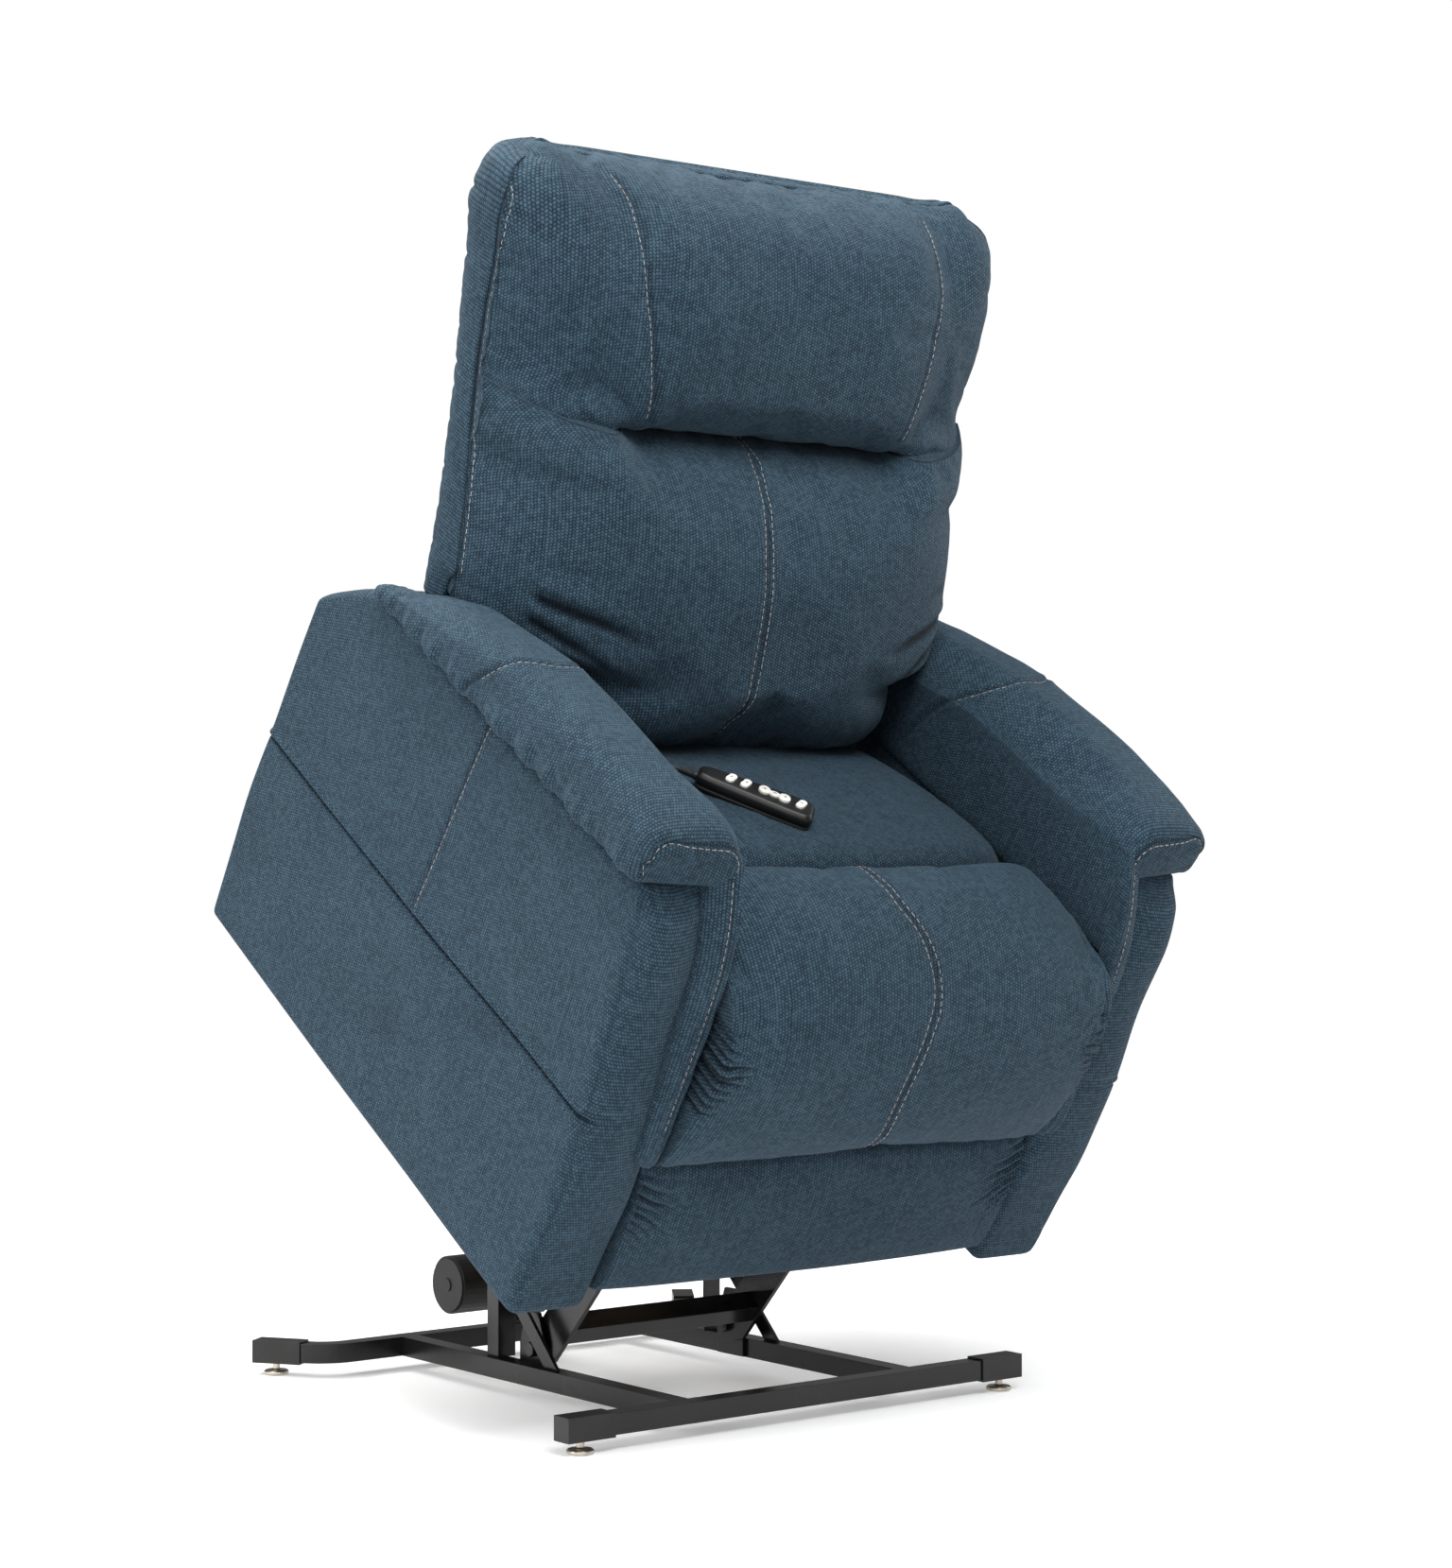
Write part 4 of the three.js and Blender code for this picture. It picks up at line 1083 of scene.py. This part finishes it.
# topstitch along each boxing seam
box_lines = []
for sg in (-1, 1):
    low, nl = lum.snap([(sg * 379, edge_s(b_) - 6, b_) for b_ in np.linspace(652, 860, 9)])
    upp, nu = head.snap([(sg * 379, edge_s(b_) - 6, b_) for b_ in np.linspace(872, 1080, 9)] + [(sg * 377, 764, 1094), (sg * 376, 786, 1102), (sg * 376, 808, 1102)])
    box_lines += [(low, nl), (upp, nu)]
stitches("boxing_stitching", box_lines, "backrest")

# ------------------------------------------------------------------ seat cushion
SEAT_C = curve([(152, 470), (153, 498), (158, 515), (174, 526), (212, 530), (280, 529), (350, 523), (410, 512), (470, 497), (530, 478), (558, 465)], 160)
SEAT_E = curve([(218, 420), (220, 446), (226, 464), (242, 475), (268, 479), (310, 477), (360, 472), (430, 462), (500, 450), (545, 438), (558, 420)], 160)


def seat_pos(a, b, c):
    u = 2 * a - 1
    Cn, Ed = at_fraction(SEAT_C, b), at_fraction(SEAT_E, b)
    k = (1 - np.abs(u) ** 5.5)[:, None]
    F = Ed + (Cn - Ed) * k
    R = np.stack([168 + (556 - 168) * b, np.full(len(b), 207.0)], 1)
    R[:, 0] = np.maximum(R[:, 0], F[:, 0] * 0.2 + R[:, 0] * 0.8)
    q = R + (F - R) * c[:, None]
    return np.stack([u * (300 + 3 * c), q[:, 0], q[:, 1]], 1)


seat = Soft("seat_cushion_cover", lin(60, 0.3), lin(44), lin(12), seat_pos)
seat.pressure(cap=10, pressure=1.6, shrink=-0.015, pin=lambda par, P: np.where((par[:, 2] < 0.85) | (P[:, 1] < 176) | (par[:, 1] < 0.004) | (par[:, 1] > 0.996) | (np.minimum(par[:, 0], 1 - par[:, 0]) < 0.004), 1.0, 0.35))
seat.subdivide()
seat.push(lambda P, N: np.clip(N[:, 2], 0, 1) * (1.0 * np.sin(P[:, 0] * 0.018 + 0.6) * np.sin(P[:, 1] * 0.021) - 1.5 * np.exp(-np.clip(560 - P[:, 1], 0, 400) / 60)))
# painted shade: the whole seat cushion is painted darker, as the shade of the back and arms
seat.shade(np.full(len(seat.o.data.vertices), 0.13))
finish_soft(seat, "chair_body", "seat_cushion", fill=0.85)

# ------------------------------------------------------------------ front roll of the footrest
ROLL_C = curve([(149, 490), (146, 514), (138, 533), (124, 542), (98, 543), (62, 537), (26, 525), (-6, 506), (-36, 477), (-57, 436), (-66, 386), (-63, 330), (-51, 278), (-32, 234), (-22, 216), (-10, 210), (12, 214), (33, 217)], 260)
ROLL_E = curve([(206, 440), (204, 456), (196, 472), (176, 482), (140, 488), (96, 490), (56, 488), (24, 482), (-8, 474), (-31, 460), (-48, 432), (-55, 398), (-54, 362), (-42, 290), (-26, 232), (-17, 216), (-4, 211), (14, 214), (33, 217)], 260)
ROLL_R = curve([(150, 476), (120, 471), (60, 466), (44, 455), (37, 430), (36, 330), (36, 219)], 120)


def roll_pos(a, b, c):
    u = 2 * a - 1
    Cn, Ed, R = at_fraction(ROLL_C, b), at_fraction(ROLL_E, b), at_fraction(ROLL_R, b)
    k = (1 - np.abs(u) ** (6.5 - 2.5 * smooth((b - 0.1) / 0.35)))[:, None]
    F = Ed + (Cn - Ed) * k
    q = R + (F - R) * (0.06 + 0.94 * c)[:, None]
    return np.stack([u * (292 + 8 * c) * (1 + 0 * b), q[:, 0], q[:, 1]], 1)


roll = Soft("footrest_roll_cover", fine(72, 0.35, [(-0.004, 0.13, 22), (0.87, 1.004, 22)]), fine(60, 0, [(0.40, 0.78, 66)]), lin(6), roll_pos)
roll.pressure(cap=22, pressure=2.2, shrink=-0.012, pin=lambda par, P: np.maximum(np.where(par[:, 2] < 0.51, 1.0, 0.0), np.where((par[:, 1] < 0.004) | (par[:, 1] > 0.996) | (np.minimum(par[:, 0], 1 - par[:, 0]) < 0.004), 0.97, 0)),
              limit=lambda P, S: np.column_stack([np.clip(P[:, 0], -301, 301), np.minimum(P[:, 1], np.maximum(S[:, 1], 150)), np.minimum(P[:, 2], 547)]))
roll.subdivide()


ROLL_PLEATS = []
_b = 318.0
while _b < 436:
    ROLL_PLEATS.append((_b, RNG.uniform(18, 48) * (0.55 + 0.6 * math.exp(-((_b - 385) / 45) ** 2)), RNG.uniform(2.6, 4.6) * (0.5 + 0.5 * math.exp(-((_b - 380) / 46) ** 2)), (_b - 392) * -0.006 + RNG.uniform(-0.07, 0.07)))
    _b += RNG.uniform(8.5, 13.5)


def pleats(e, b, rows, wd=3.3):
    """Pinched gathers running in from an edge at e = 0: rows of (height, length, depth, slope)."""
    out = np.zeros(len(b))
    for b0_, L, amp, sl in rows:
        t = np.clip(e / L, 0, 1.2)
        mid = b0_ + sl * e + 1.5 * np.sin(e * 0.11 + b0_)
        w_ = wd * (1 - 0.35 * np.clip(t, 0, 1))
        out -= 1.45 * amp * np.clip(1 - t, 0, 1) ** 0.75 * np.exp(-((b - mid) / w_) ** 2)
        out += 0.45 * amp * np.clip(1 - t, 0, 1) * np.exp(-((b - mid - 2.0 * w_) / (1.5 * w_)) ** 2)
    return out


def roll_gathers(P, N):
    x, s, b = P.T
    e = np.clip(301 - np.abs(x), 0, 400)
    front = smooth((100 - s) / 40)
    out = front * pleats(e, b, ROLL_PLEATS)
    out -= 2.2 * front * np.exp(-e / 13) * np.exp(-((b - 380) / 80) ** 2)
    out += 0.9 * np.sin(x * 0.02) * np.sin(b * 0.018)
    # puckers along the bottom hem
    out += 0.9 * np.exp(-np.clip(b - 216, 0, 300) / 12) * np.sin(x * 0.13 + 2 * np.sin(x * 0.021)) * front
    return out


roll.push(roll_gathers)
ROLL_ST = [(-44, 132, 542), (-43, 93, 547), (-35, 41, 541), (-17, 9, 522), (-7, -18, 500), (-2, -38, 473), (-5, -54, 451), (-11, -63, 430), (-22, -76, 386), (-29, -80, 341), (-27, -76, 289), (-18, -52, 244), (-12, -34, 222)]
gm, _ = roll.snap(ROLL_ST)
roll.groove(gm, 2.2, 4.5, lips=0.9, lip_at=10)
g1, n1 = roll.snap([(x_ - 6, s_, b_) for x_, s_, b_ in ROLL_ST])
g2, n2 = roll.snap([(x_ + 6, s_, b_) for x_, s_, b_ in ROLL_ST])
finish_soft(roll, "footrest", "footrest_roll", fill=0.9)
stitches("roll_stitching", [(g1, n1), (g2, n2)], "footrest")

# ------------------------------------------------------------------ lower footrest pad
PAD_C = curve([(24, 211), (6, 210), (-8, 203), (-18, 182), (-25, 140), (-27, 95), (-23, 52), (-13, 27), (2, 19), (26, 20)], 120)
PAD_E = curve([(24, 210), (4, 208), (-6, 200), (-12, 182), (-17, 140), (-18, 95), (-16, 54), (-9, 30), (2, 22), (26, 22)], 120)


def pad_pos(a, b, c):
    u = 2 * a - 1
    Cn, Ed = at_fraction(PAD_C, b), at_fraction(PAD_E, b)
    k = (1 - np.abs(u) ** 4)[:, None]
    F = Ed + (Cn - Ed) * k
    R = np.stack([np.full(len(b), 34.5), np.clip(F[:, 1], 23, 208)], 1)
    q = R + (F - R) * c[:, None]
    return np.stack([u * (303 + 2 * c), q[:, 0], q[:, 1]], 1)


lower = Soft("footrest_lower_pad", fine(70, 0.4, [(-0.004, 0.13, 22), (0.87, 1.004, 22)]), fine(34, 0, [(0.05, 0.5, 40)]), lin(5), pad_pos)
lower.pressure(cap=10, pressure=1.6, shrink=-0.02, pin=lambda par, P: np.where((par[:, 2] < 0.7) | (par[:, 1] < 0.004) | (par[:, 1] > 0.996) | (np.minimum(par[:, 0], 1 - par[:, 0]) < 0.004), 1.0, 0.0))
lower.subdivide()


PAD_PLEATS = [(196, 40, 2.6, -0.10), (184, 56, 3.6, -0.24), (172, 72, 4.4, -0.36), (161, 60, 3.6, -0.46), (150, 70, 3.8, -0.52), (138, 52, 3.0, -0.6), (126, 46, 2.6, -0.66), (113, 36, 2.0, -0.7)]


def lower_pucker(P, N):
    x, s, b = P.T
    e = np.clip(305 - np.abs(x), 0, 400)
    out = pleats(e, b, PAD_PLEATS, 3.8)
    out += 0.8 * np.sin(x * 0.017 + 1) * np.sin(b * 0.03)
    return out * np.clip(-N[:, 1] * 1.3, 0, 1)


lower.push(lower_pucker)
finish_soft(lower, "footrest", "footrest_pad", fill=0.6)

# ------------------------------------------------------------------ arms
ARM_BOT = curve([(-6, 1), (200, 0), (500, 0), (826, 2)], 80)
ARM_TOP = curve([(46, 571), (250, 572), (520, 572), (690, 572), (722, 560), (762, 535), (800, 508), (812, 496)], 80)
ARM_FRONT = np.vstack([curve([(-6, 1), (-12, 100), (-13, 190), (-5, 287)], 30), curve([(-5, 287), (3, 350), (14, 420), (28, 500), (46, 571)], 30)[1:]])
ARM_REAR = np.vstack([curve([(826, 2), (832, 120), (828, 287)], 30), curve([(828, 287), (822, 390), (812, 496)], 30)[1:]])


def coons(a, b):
    """A point of the arm's side outline: a runs rearwards, b upwards."""
    bo, to = at_fraction(ARM_BOT, a), at_fraction(ARM_TOP, a)
    fr, re = at_fraction(ARM_FRONT, b), at_fraction(ARM_REAR, b)
    A_, B_ = a[:, None], b[:, None]
    p00, p10, p01, p11 = ARM_BOT[0], ARM_BOT[-1], ARM_TOP[0], ARM_TOP[-1]
    q = (1 - B_) * bo + B_ * to + (1 - A_) * fr + A_ * re - ((1 - A_) * (1 - B_) * p00 + A_ * (1 - B_) * p10 + (1 - A_) * B_ * p01 + A_ * B_ * p11)
    # the middle row lies on the straight seam at b 287
    m = (0.5 * (bo + to) + 0.5 * 0)[:, 1] + 287 - 0.5 * ((1 - a) * (p00[1] + p01[1]) + a * (p10[1] + p11[1]))
    q[:, 1] += (287 - m) * (1 - np.abs(2 * b - 1))
    return q


ARC = [0, 0.35, 1.1, 2.6, 5.2, 9, 14]
C_ARM = np.array([*ARC, 26, 40, 58, 76, 90, *(116 - np.array(ARC[::-1]))]) / 116


def arm_pos(k):
    def pos(a, b, c):
        t = np.abs(c * 116 - 58)
        r = 17.0
        d = r - np.sqrt(np.maximum(r * r - np.maximum(0, t - (58 - r)) ** 2, 0))
        aa = d / 830 + a * (1 - 2 * d / 830)
        bb = d / 560 + b * (1 - 2 * d / 560)
        q = coons(aa, bb)
        # the front panel is crowned towards the seat, the outer side a little outwards
        front = np.exp(-a * 22)
        cc = (425 - (425 - 309) * (1 - c))  # x magnitude
        lift = 13 * np.sin(np.pi * np.clip((425 - cc) / 116, 0, 1) ** 0.8) * smooth((b - 0.06) / 0.4) * smooth((0.985 - b) / 0.16)
        lift = lift + 24 * np.sin(np.pi * np.clip((425 - cc) / 116, 0, 1) ** 0.5) * np.exp(-((b - 0.92) / 0.15) ** 2) * smooth((0.995 - b) / 0.05)
        q[:, 0] -= front * lift
        x = cc + 2.6 * np.sin(np.pi * a) * np.sin(np.pi * b) * (c > 0.5) * (c - 0.5) * 2
        return np.stack([k * x, q[:, 0], q[:, 1]], 1)
    return pos


NOSE = 27.0


def pad_top(s):
    return np.interp(s, [26, 60, 90, 126, 200, 272, 360, 382, 430, 472, 560, 602, 650, 690], [640, 648, 656, 661, 665, 666, 665, 664, 657, 648, 631, 619, 603, 590])


STEPS = np.array([0, 0.6, 2, 4.5, 8, 13, 19, 26])
S_NODES = np.unique(np.concatenate([NOSE + STEPS, np.arange(NOSE + 32, 660, 8.5), 692 - STEPS[::-1]]))
A_PAD = (S_NODES - S_NODES[0]) / (S_NODES[-1] - S_NODES[0])
ACROSS = np.concatenate([STEPS, np.arange(35, 104, 8.6), 135.5 - STEPS[::-1]]) / 135.5
C_PAD = np.concatenate([[0, 10, 24, 40, 56, 70, 82, 90], 97 + STEPS[1:-1], np.arange(124, 160, 7), 190 - STEPS[::-1]]) / 190
C_PAD = np.unique(C_PAD)


def round_box(x, s, h, lo, hi, r):
    """Points of a box's skin moved onto the same box with edges of radius r."""
    P = np.stack([x, s, h], 1)
    r = r[:, None]
    core = np.clip(P, lo + r, hi - r)
    d = P - core
    L = np.linalg.norm(d, axis=1, keepdims=True)
    return np.where(L > 1e-6, core + d / np.maximum(L, 1e-6) * r, P)


def armpad_pos(k):
    def pos(a, b, c):
        s = S_NODES[0] + (S_NODES[-1] - S_NODES[0]) * a
        tail = smooth((s - 590) / 30)
        inner = 303.5 + 94.5 * tail
        outer = 439.5
        x = inner + (outer - inner) * b
        top = pad_top(s)
        # the inner side runs down past the arm's top as a facing; elsewhere the pad stops on the arm
        skirt = smooth((324 - x) / 12) * (1 - tail)
        low = 573 - 97 * skirt
        cc = np.clip((c - 97 / 190) / (1 - 97 / 190), 0, 1)
        h_top = 573 + (top - 573) * cc
        h = np.where(c >= 97 / 190, h_top, low + (573 - low) * c / (97 / 190))
        lo = np.stack([inner, np.full(len(s), NOSE), low], 1)
        hi = np.stack([np.full(len(s), outer), np.full(len(s), 692.0), top], 1)
        r = 13 + 13 * smooth((h - 590) / 34)
        r = np.where(x < 335, 7 + (r - 7) * smooth((h - 596) / 34), r)
        r = np.minimum(r, (hi - lo).min(1) * 0.48)
        q = round_box(x, s, h, lo, hi, r)
        X, S_, H = q.T
        # crown over the top, a soft belly on the outer side, the roof falls towards both edges
        w_ = (X - inner) / (outer - inner)
        H = H - 7 * np.clip(np.abs(2 * w_ - 1.0), 0, 1) ** 2.2 * smooth((H - 600) / 50) - 12 * np.clip((335 - X) / 32, 0, 1) ** 1.5 * smooth((H - 590) / 40)
        X = X + 2.5 * np.sin(np.pi * np.clip((H - 573) / 75, 0, 1)) * (w_ > 0.93)
        # the nose leans: its lower outer corner sits further back
        near = np.clip(1 - (S_ - NOSE) / 70, 0, 1)
        S_ = S_ + near * (15 * np.clip((X - 330) / 110, 0, 1) ** 1.3 * np.clip((628 - H) / 40, 0.25, 1))
        # the facing's front edge follows the arm front
        down = np.clip((573 - H) / 97, 0, 1)
        S_ = S_ - near * down * 22
        return np.stack([k * X, S_, H], 1)
    return pos


for tag, k in (("left", 1), ("right", -1)):
    arm = Soft(f"arm_cover_{tag}", lin(84), fine(56, 0, [(0.48, 0.52, 17)]), C_ARM, arm_pos(k))
    arm.subdivide()

    def arm_waves(P, N, k=k):
        x, s, b = P.T
        side = np.clip(N[:, 0] * k, 0, 1)
        out = side * 1.3 * np.sin(s * 0.012 - b * 0.006 + 0.8) * np.sin(b * 0.014 + 0.3)
        out += side * 1.1 * np.sin((s * 0.52 + b * 0.85) * 0.034) * np.exp(-((b - 200) / 160) ** 2)
        # soft diagonal draws in the lower panel and by the front corner
        for (s0, b0_, s1, b1_, amp, wd) in ((60, 200, 330, 120, 1.8, 13), (40, 262, 230, 190, 1.4, 10), (20, 330, 150, 300, 1.4, 9), (70, 400, 160, 330, 1.2, 10), (300, 250, 520, 150, 1.2, 14)):
            t = np.clip(((s - s0) * (s1 - s0) + (b - b0_) * (b1_ - b0_)) / ((s1 - s0) ** 2 + (b1_ - b0_) ** 2), 0, 1)
            d2 = (s - s0 - t * (s1 - s0)) ** 2 + (b - b0_ - t * (b1_ - b0_)) ** 2
            out -= side * amp * np.sin(np.pi * np.clip(t, 0.05, 1)) * np.exp(-d2 / wd ** 2)
        out += np.clip(-N[:, 1], 0, 1) * 0.8 * np.sin(b * 0.045 + 0.5)
        return out

    arm.push(arm_waves)
    g, n_ = arm.snap([(k * 600, s_, 287) for s_ in np.linspace(0, 826, 12)], along=(-k, 0, 0))
    # the upper panel is folded over the lower one along this seam; the pushed-in groove also gets painted shade
    arm.push(lambda P, N, k=k: np.clip(N[:, 0] * k, 0, 1) * (2.4 * np.exp(-((P[:, 2] - 292.0) / 3.6) ** 2) - 6.0 * np.exp(-((P[:, 2] - 286.4) / 2.1) ** 2) - 1.2 * np.exp(-np.clip(285 - P[:, 2], 0, 99) / 9) * (P[:, 2] < 285)))
    V_SEAM = [(k * 600, 392, 566), (k * 600, 396, 520), (k * 600, 402, 430), (k * 600, 407, 350), (k * 600, 411, 292)]
    g, n_ = arm.snap(V_SEAM, along=(-k, 0, 0))
    arm.groove(g, 2.4, 3.0, lips=0.6, lip_at=7)
    st, sn = arm.snap([(x_, s_ - 4.5, b_) for x_, s_, b_ in V_SEAM], along=(-k, 0, 0))
    # seam down the front outer edge
    fr, fn = arm.snap([(k * 423, s_ - 2, b_) for s_, b_ in ARM_FRONT[4:-2:6]])
    arm.groove(fr, 1.3, 3.0)
    finish_soft(arm, "chair_body", f"arm_{tag}", fill=0.9)
    stitches(f"arm_seam_stitching_{tag}", [(st, sn)], "chair_body")

    pad = Soft(f"arm_pad_cover_{tag}", A_PAD, ACROSS, C_PAD, armpad_pos(k))
    pad.pressure(cap=9, pressure=1.2, shrink=-0.01, pin=lambda par, P, k=k: np.where((P[:, 0] * k < 330) & (P[:, 2] < 610) | (P[:, 2] < 584), 1.0, 0.15),
                 limit=lambda P, S, k=k: np.column_stack([k * np.clip(P[:, 0] * k, 303.4, 446), P[:, 1], P[:, 2]]))
    pad.subdivide()

    def pad_waves(P, N, k=k):
        x, s, b = P.T
        X = x * k
        low = np.clip((X - 415) / 20, 0, 1) * np.exp(-((b - 586) / 17) ** 2)
        out = 3.5 * low + 3.0 * low * (np.sin(s * 0.088 + 1.5 * np.sin(s * 0.023)) + 0.4 * np.sin(s * 0.27))
        out += 1.0 * np.sin(s * 0.024 + X * 0.02) * np.clip(N[:, 2], 0, 1)
        out += 0.9 * np.sin(b * 0.05 + s * 0.03) * np.clip(N[:, 0] * k, 0, 1)
        out -= 2.4 * np.exp(-(((s - 652) + (X - 420) * 0.3) / 7) ** 2) * (X > 395) * 0.6
        return out

    # the inner top edge rolls over towards the seat
    def roll_over(P, k=k):
        X, s_, b_ = P[:, 0] * k, P[:, 1], P[:, 2]
        w_ = smooth((362 - X) / 58) * smooth((s_ - 50) / 130) * smooth((640 - s_) / 120) * smooth((b_ - pad_top(s_) + 75) / 55)
        return np.column_stack([P[:, 0], s_, b_ - 27 * w_])

    pad.move(roll_over)
    # the rear end is rounded off
    pad.move(lambda P, k=k: np.column_stack([P[:, 0] - k * 12 * np.clip((P[:, 1] - 645) / 47, 0, 1) ** 2 * (P[:, 0] * k > 400), P[:, 1], P[:, 2] - 10 * np.clip((P[:, 1] - 648) / 44, 0, 1) ** 2]))
    pad.push(pad_waves)
    CROSS = [(440, 445, 580), (442, 420, 612), (434, 398, 636), (412, 376, 656), (380, 362, 666), (346, 366, 660), (318, 386, 638), (303, 415, 605), (303, 452, 550), (303, 470, 510)]
    g, n_ = pad.snap([(k * x_, s_, b_) for x_, s_, b_ in CROSS])
    pad.groove(g, 2.6, 3.2, lips=0.8, lip_at=8)
    st, sn = pad.snap([(k * x_, s_ - 4.5, b_) for x_, s_, b_ in CROSS[1:8]])
    # stitched frame of the nose gusset
    FRAME = [(k * 424, 49, 584), (k * 425, 48, 602), (k * 420, 44, 616), (k * 408, 38, 625), (k * 392, 34, 626), (k * 362, 30, 626), (k * 330, 28, 623), (k * 316, 27, 612), (k * 312, 26, 594), (k * 312, 26, 580)]
    f1, fn1 = pad.snap(FRAME)
    g, n_ = pad.snap([(x_ + (k * 4 if abs(x_) > 405 else (-k * 3 if abs(x_) < 325 else 0)), s_ + 1, b_ + (5 if 325 < abs(x_) < 412 else 0)) for x_, s_, b_ in FRAME])
    pad.groove(g, 2.0, 3.0, lips=0.8, lip_at=7)
    f1, fn1 = pad.snap(FRAME)
    finish_soft(pad, "chair_body", f"arm_pad_{tag}", fill=0.8)
    stitches(f"arm_pad_stitching_{tag}", [(st, sn), (f1, fn1)], "chair_body")

    # front strip: the inner panel's turned edge, from the pad's nose down to the roll's hem
    ST_G = curve([(52, 604), (40, 574), (26, 546), (11, 512), (1, 479), (-9, 400), (-15, 330), (-20, 262), (-21, 238), (-18, 226)], 120)  # along the groove, (s, b)
    ST_I = curve([(34, 612), (20, 584), (1, 542), (-9, 500), (-14, 463), (-17, 400), (-19, 330), (-20, 260), (-19, 232), (-14, 216)], 120)  # along the inner edge

    def strip_pos(a, b, c, k=k):
        Ip, Gp = at_fraction(ST_I, b), at_fraction(ST_G, b)
        q = Ip + (Gp - Ip) * a[:, None]
        wdt = 40 - 4 * b
        x = 303.2 + wdt * a
        crown = 5.0 * np.sqrt(np.clip(1 - (2 * a - 1) ** 2, 0, 1)) + 1.5
        tip = np.clip((b - 0.965) / 0.035, 0, 1)
        rt = 1 - np.sqrt(np.maximum(1 - tip ** 2, 0))
        x = 323 + (x - 323) * (1 - 0.45 * rt)
        depth = 26 * (1 - c) - crown * c
        return np.stack([k * x, q[:, 0] + depth, q[:, 1]], 1)

    strip = Soft(f"arm_front_strip_{tag}", lin(8), lin(70), lin(5), strip_pos)
    strip.subdivide()
    SL = [(k * 314, s_ - 8, b_) for s_, b_ in ST_I[8:112:8]]
    sg_, sgn = strip.snap(SL, along=(0, 1, 0))
    strip.groove(sg_, 1.3, 2.6)
    sg_, sgn = strip.snap([(x_ + k * 2.5, s_, b_) for x_, s_, b_ in SL], along=(0, 1, 0))
    strip.push(lambda P, N: 0.7 * np.sin(P[:, 2] * 0.09 + P[:, 0]))
    finish_soft(strip, "chair_body", fill=0.5)
    stitches(f"strip_stitching_{tag}", [(sg_, sgn)], "chair_body")


# ------------------------------------------------------------------ rear apron
def apron_pos(a, b, c):
    u = 2 * a - 1
    h = 13 + 316 * b
    s = 816 + 14.5 * c + 1.2 * np.sin(np.pi * b) * c
    return np.stack([u * 308.2, s, h], 1)


apron = Soft("rear_apron_cover", lin(60), lin(32), lin(3), apron_pos, LINER)
apron.subdivide()
apron.push(lambda P, N: np.abs(N[:, 1]) * 0.9 * np.sin(P[:, 0] * 0.03) * np.sin(P[:, 2] * 0.02 + 1))
g, _ = apron.snap([(x_, 900, 318) for x_ in (-300, -100, 100, 300)], along=(0, -1, 0))
apron.groove(g, 1.6, 2.6)
finish_soft(apron, "chair_body", "rear_apron", fill=0.3)

# ------------------------------------------------------------------ floor
fm = bpy.data.meshes.new("floor")
fm.from_pydata([(0.1 + 2.6 * math.cos(2 * math.pi * i / 96), 2.6 * math.sin(2 * math.pi * i / 96), -0.0006) for i in range(96)], [], [tuple(range(96))])
floor = bpy.data.objects.new("floor", fm)
scene.collection.objects.link(floor)
fl = Nodes("pale_floor")
fl_tc = fl.new("ShaderNodeTexCoord").outputs["Object"]
fm.materials.append(fl.out(fl.ramp(fl.noise(fl_tc, 1.5, 3, 0.5), [(0.3, (0.80, 0.80, 0.80)), (0.7, (0.83, 0.83, 0.83))]), 0.85))
fl.b.inputs["Emission Color"].default_value = (1, 1, 1, 1)
fl.b.inputs["Emission Strength"].default_value = 0.3
floor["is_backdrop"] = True

_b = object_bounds()
{"cad": [[float(v) for v in p] for p in CAD_BOX], "visual": [[float(v) for v in p] for p in _b]}
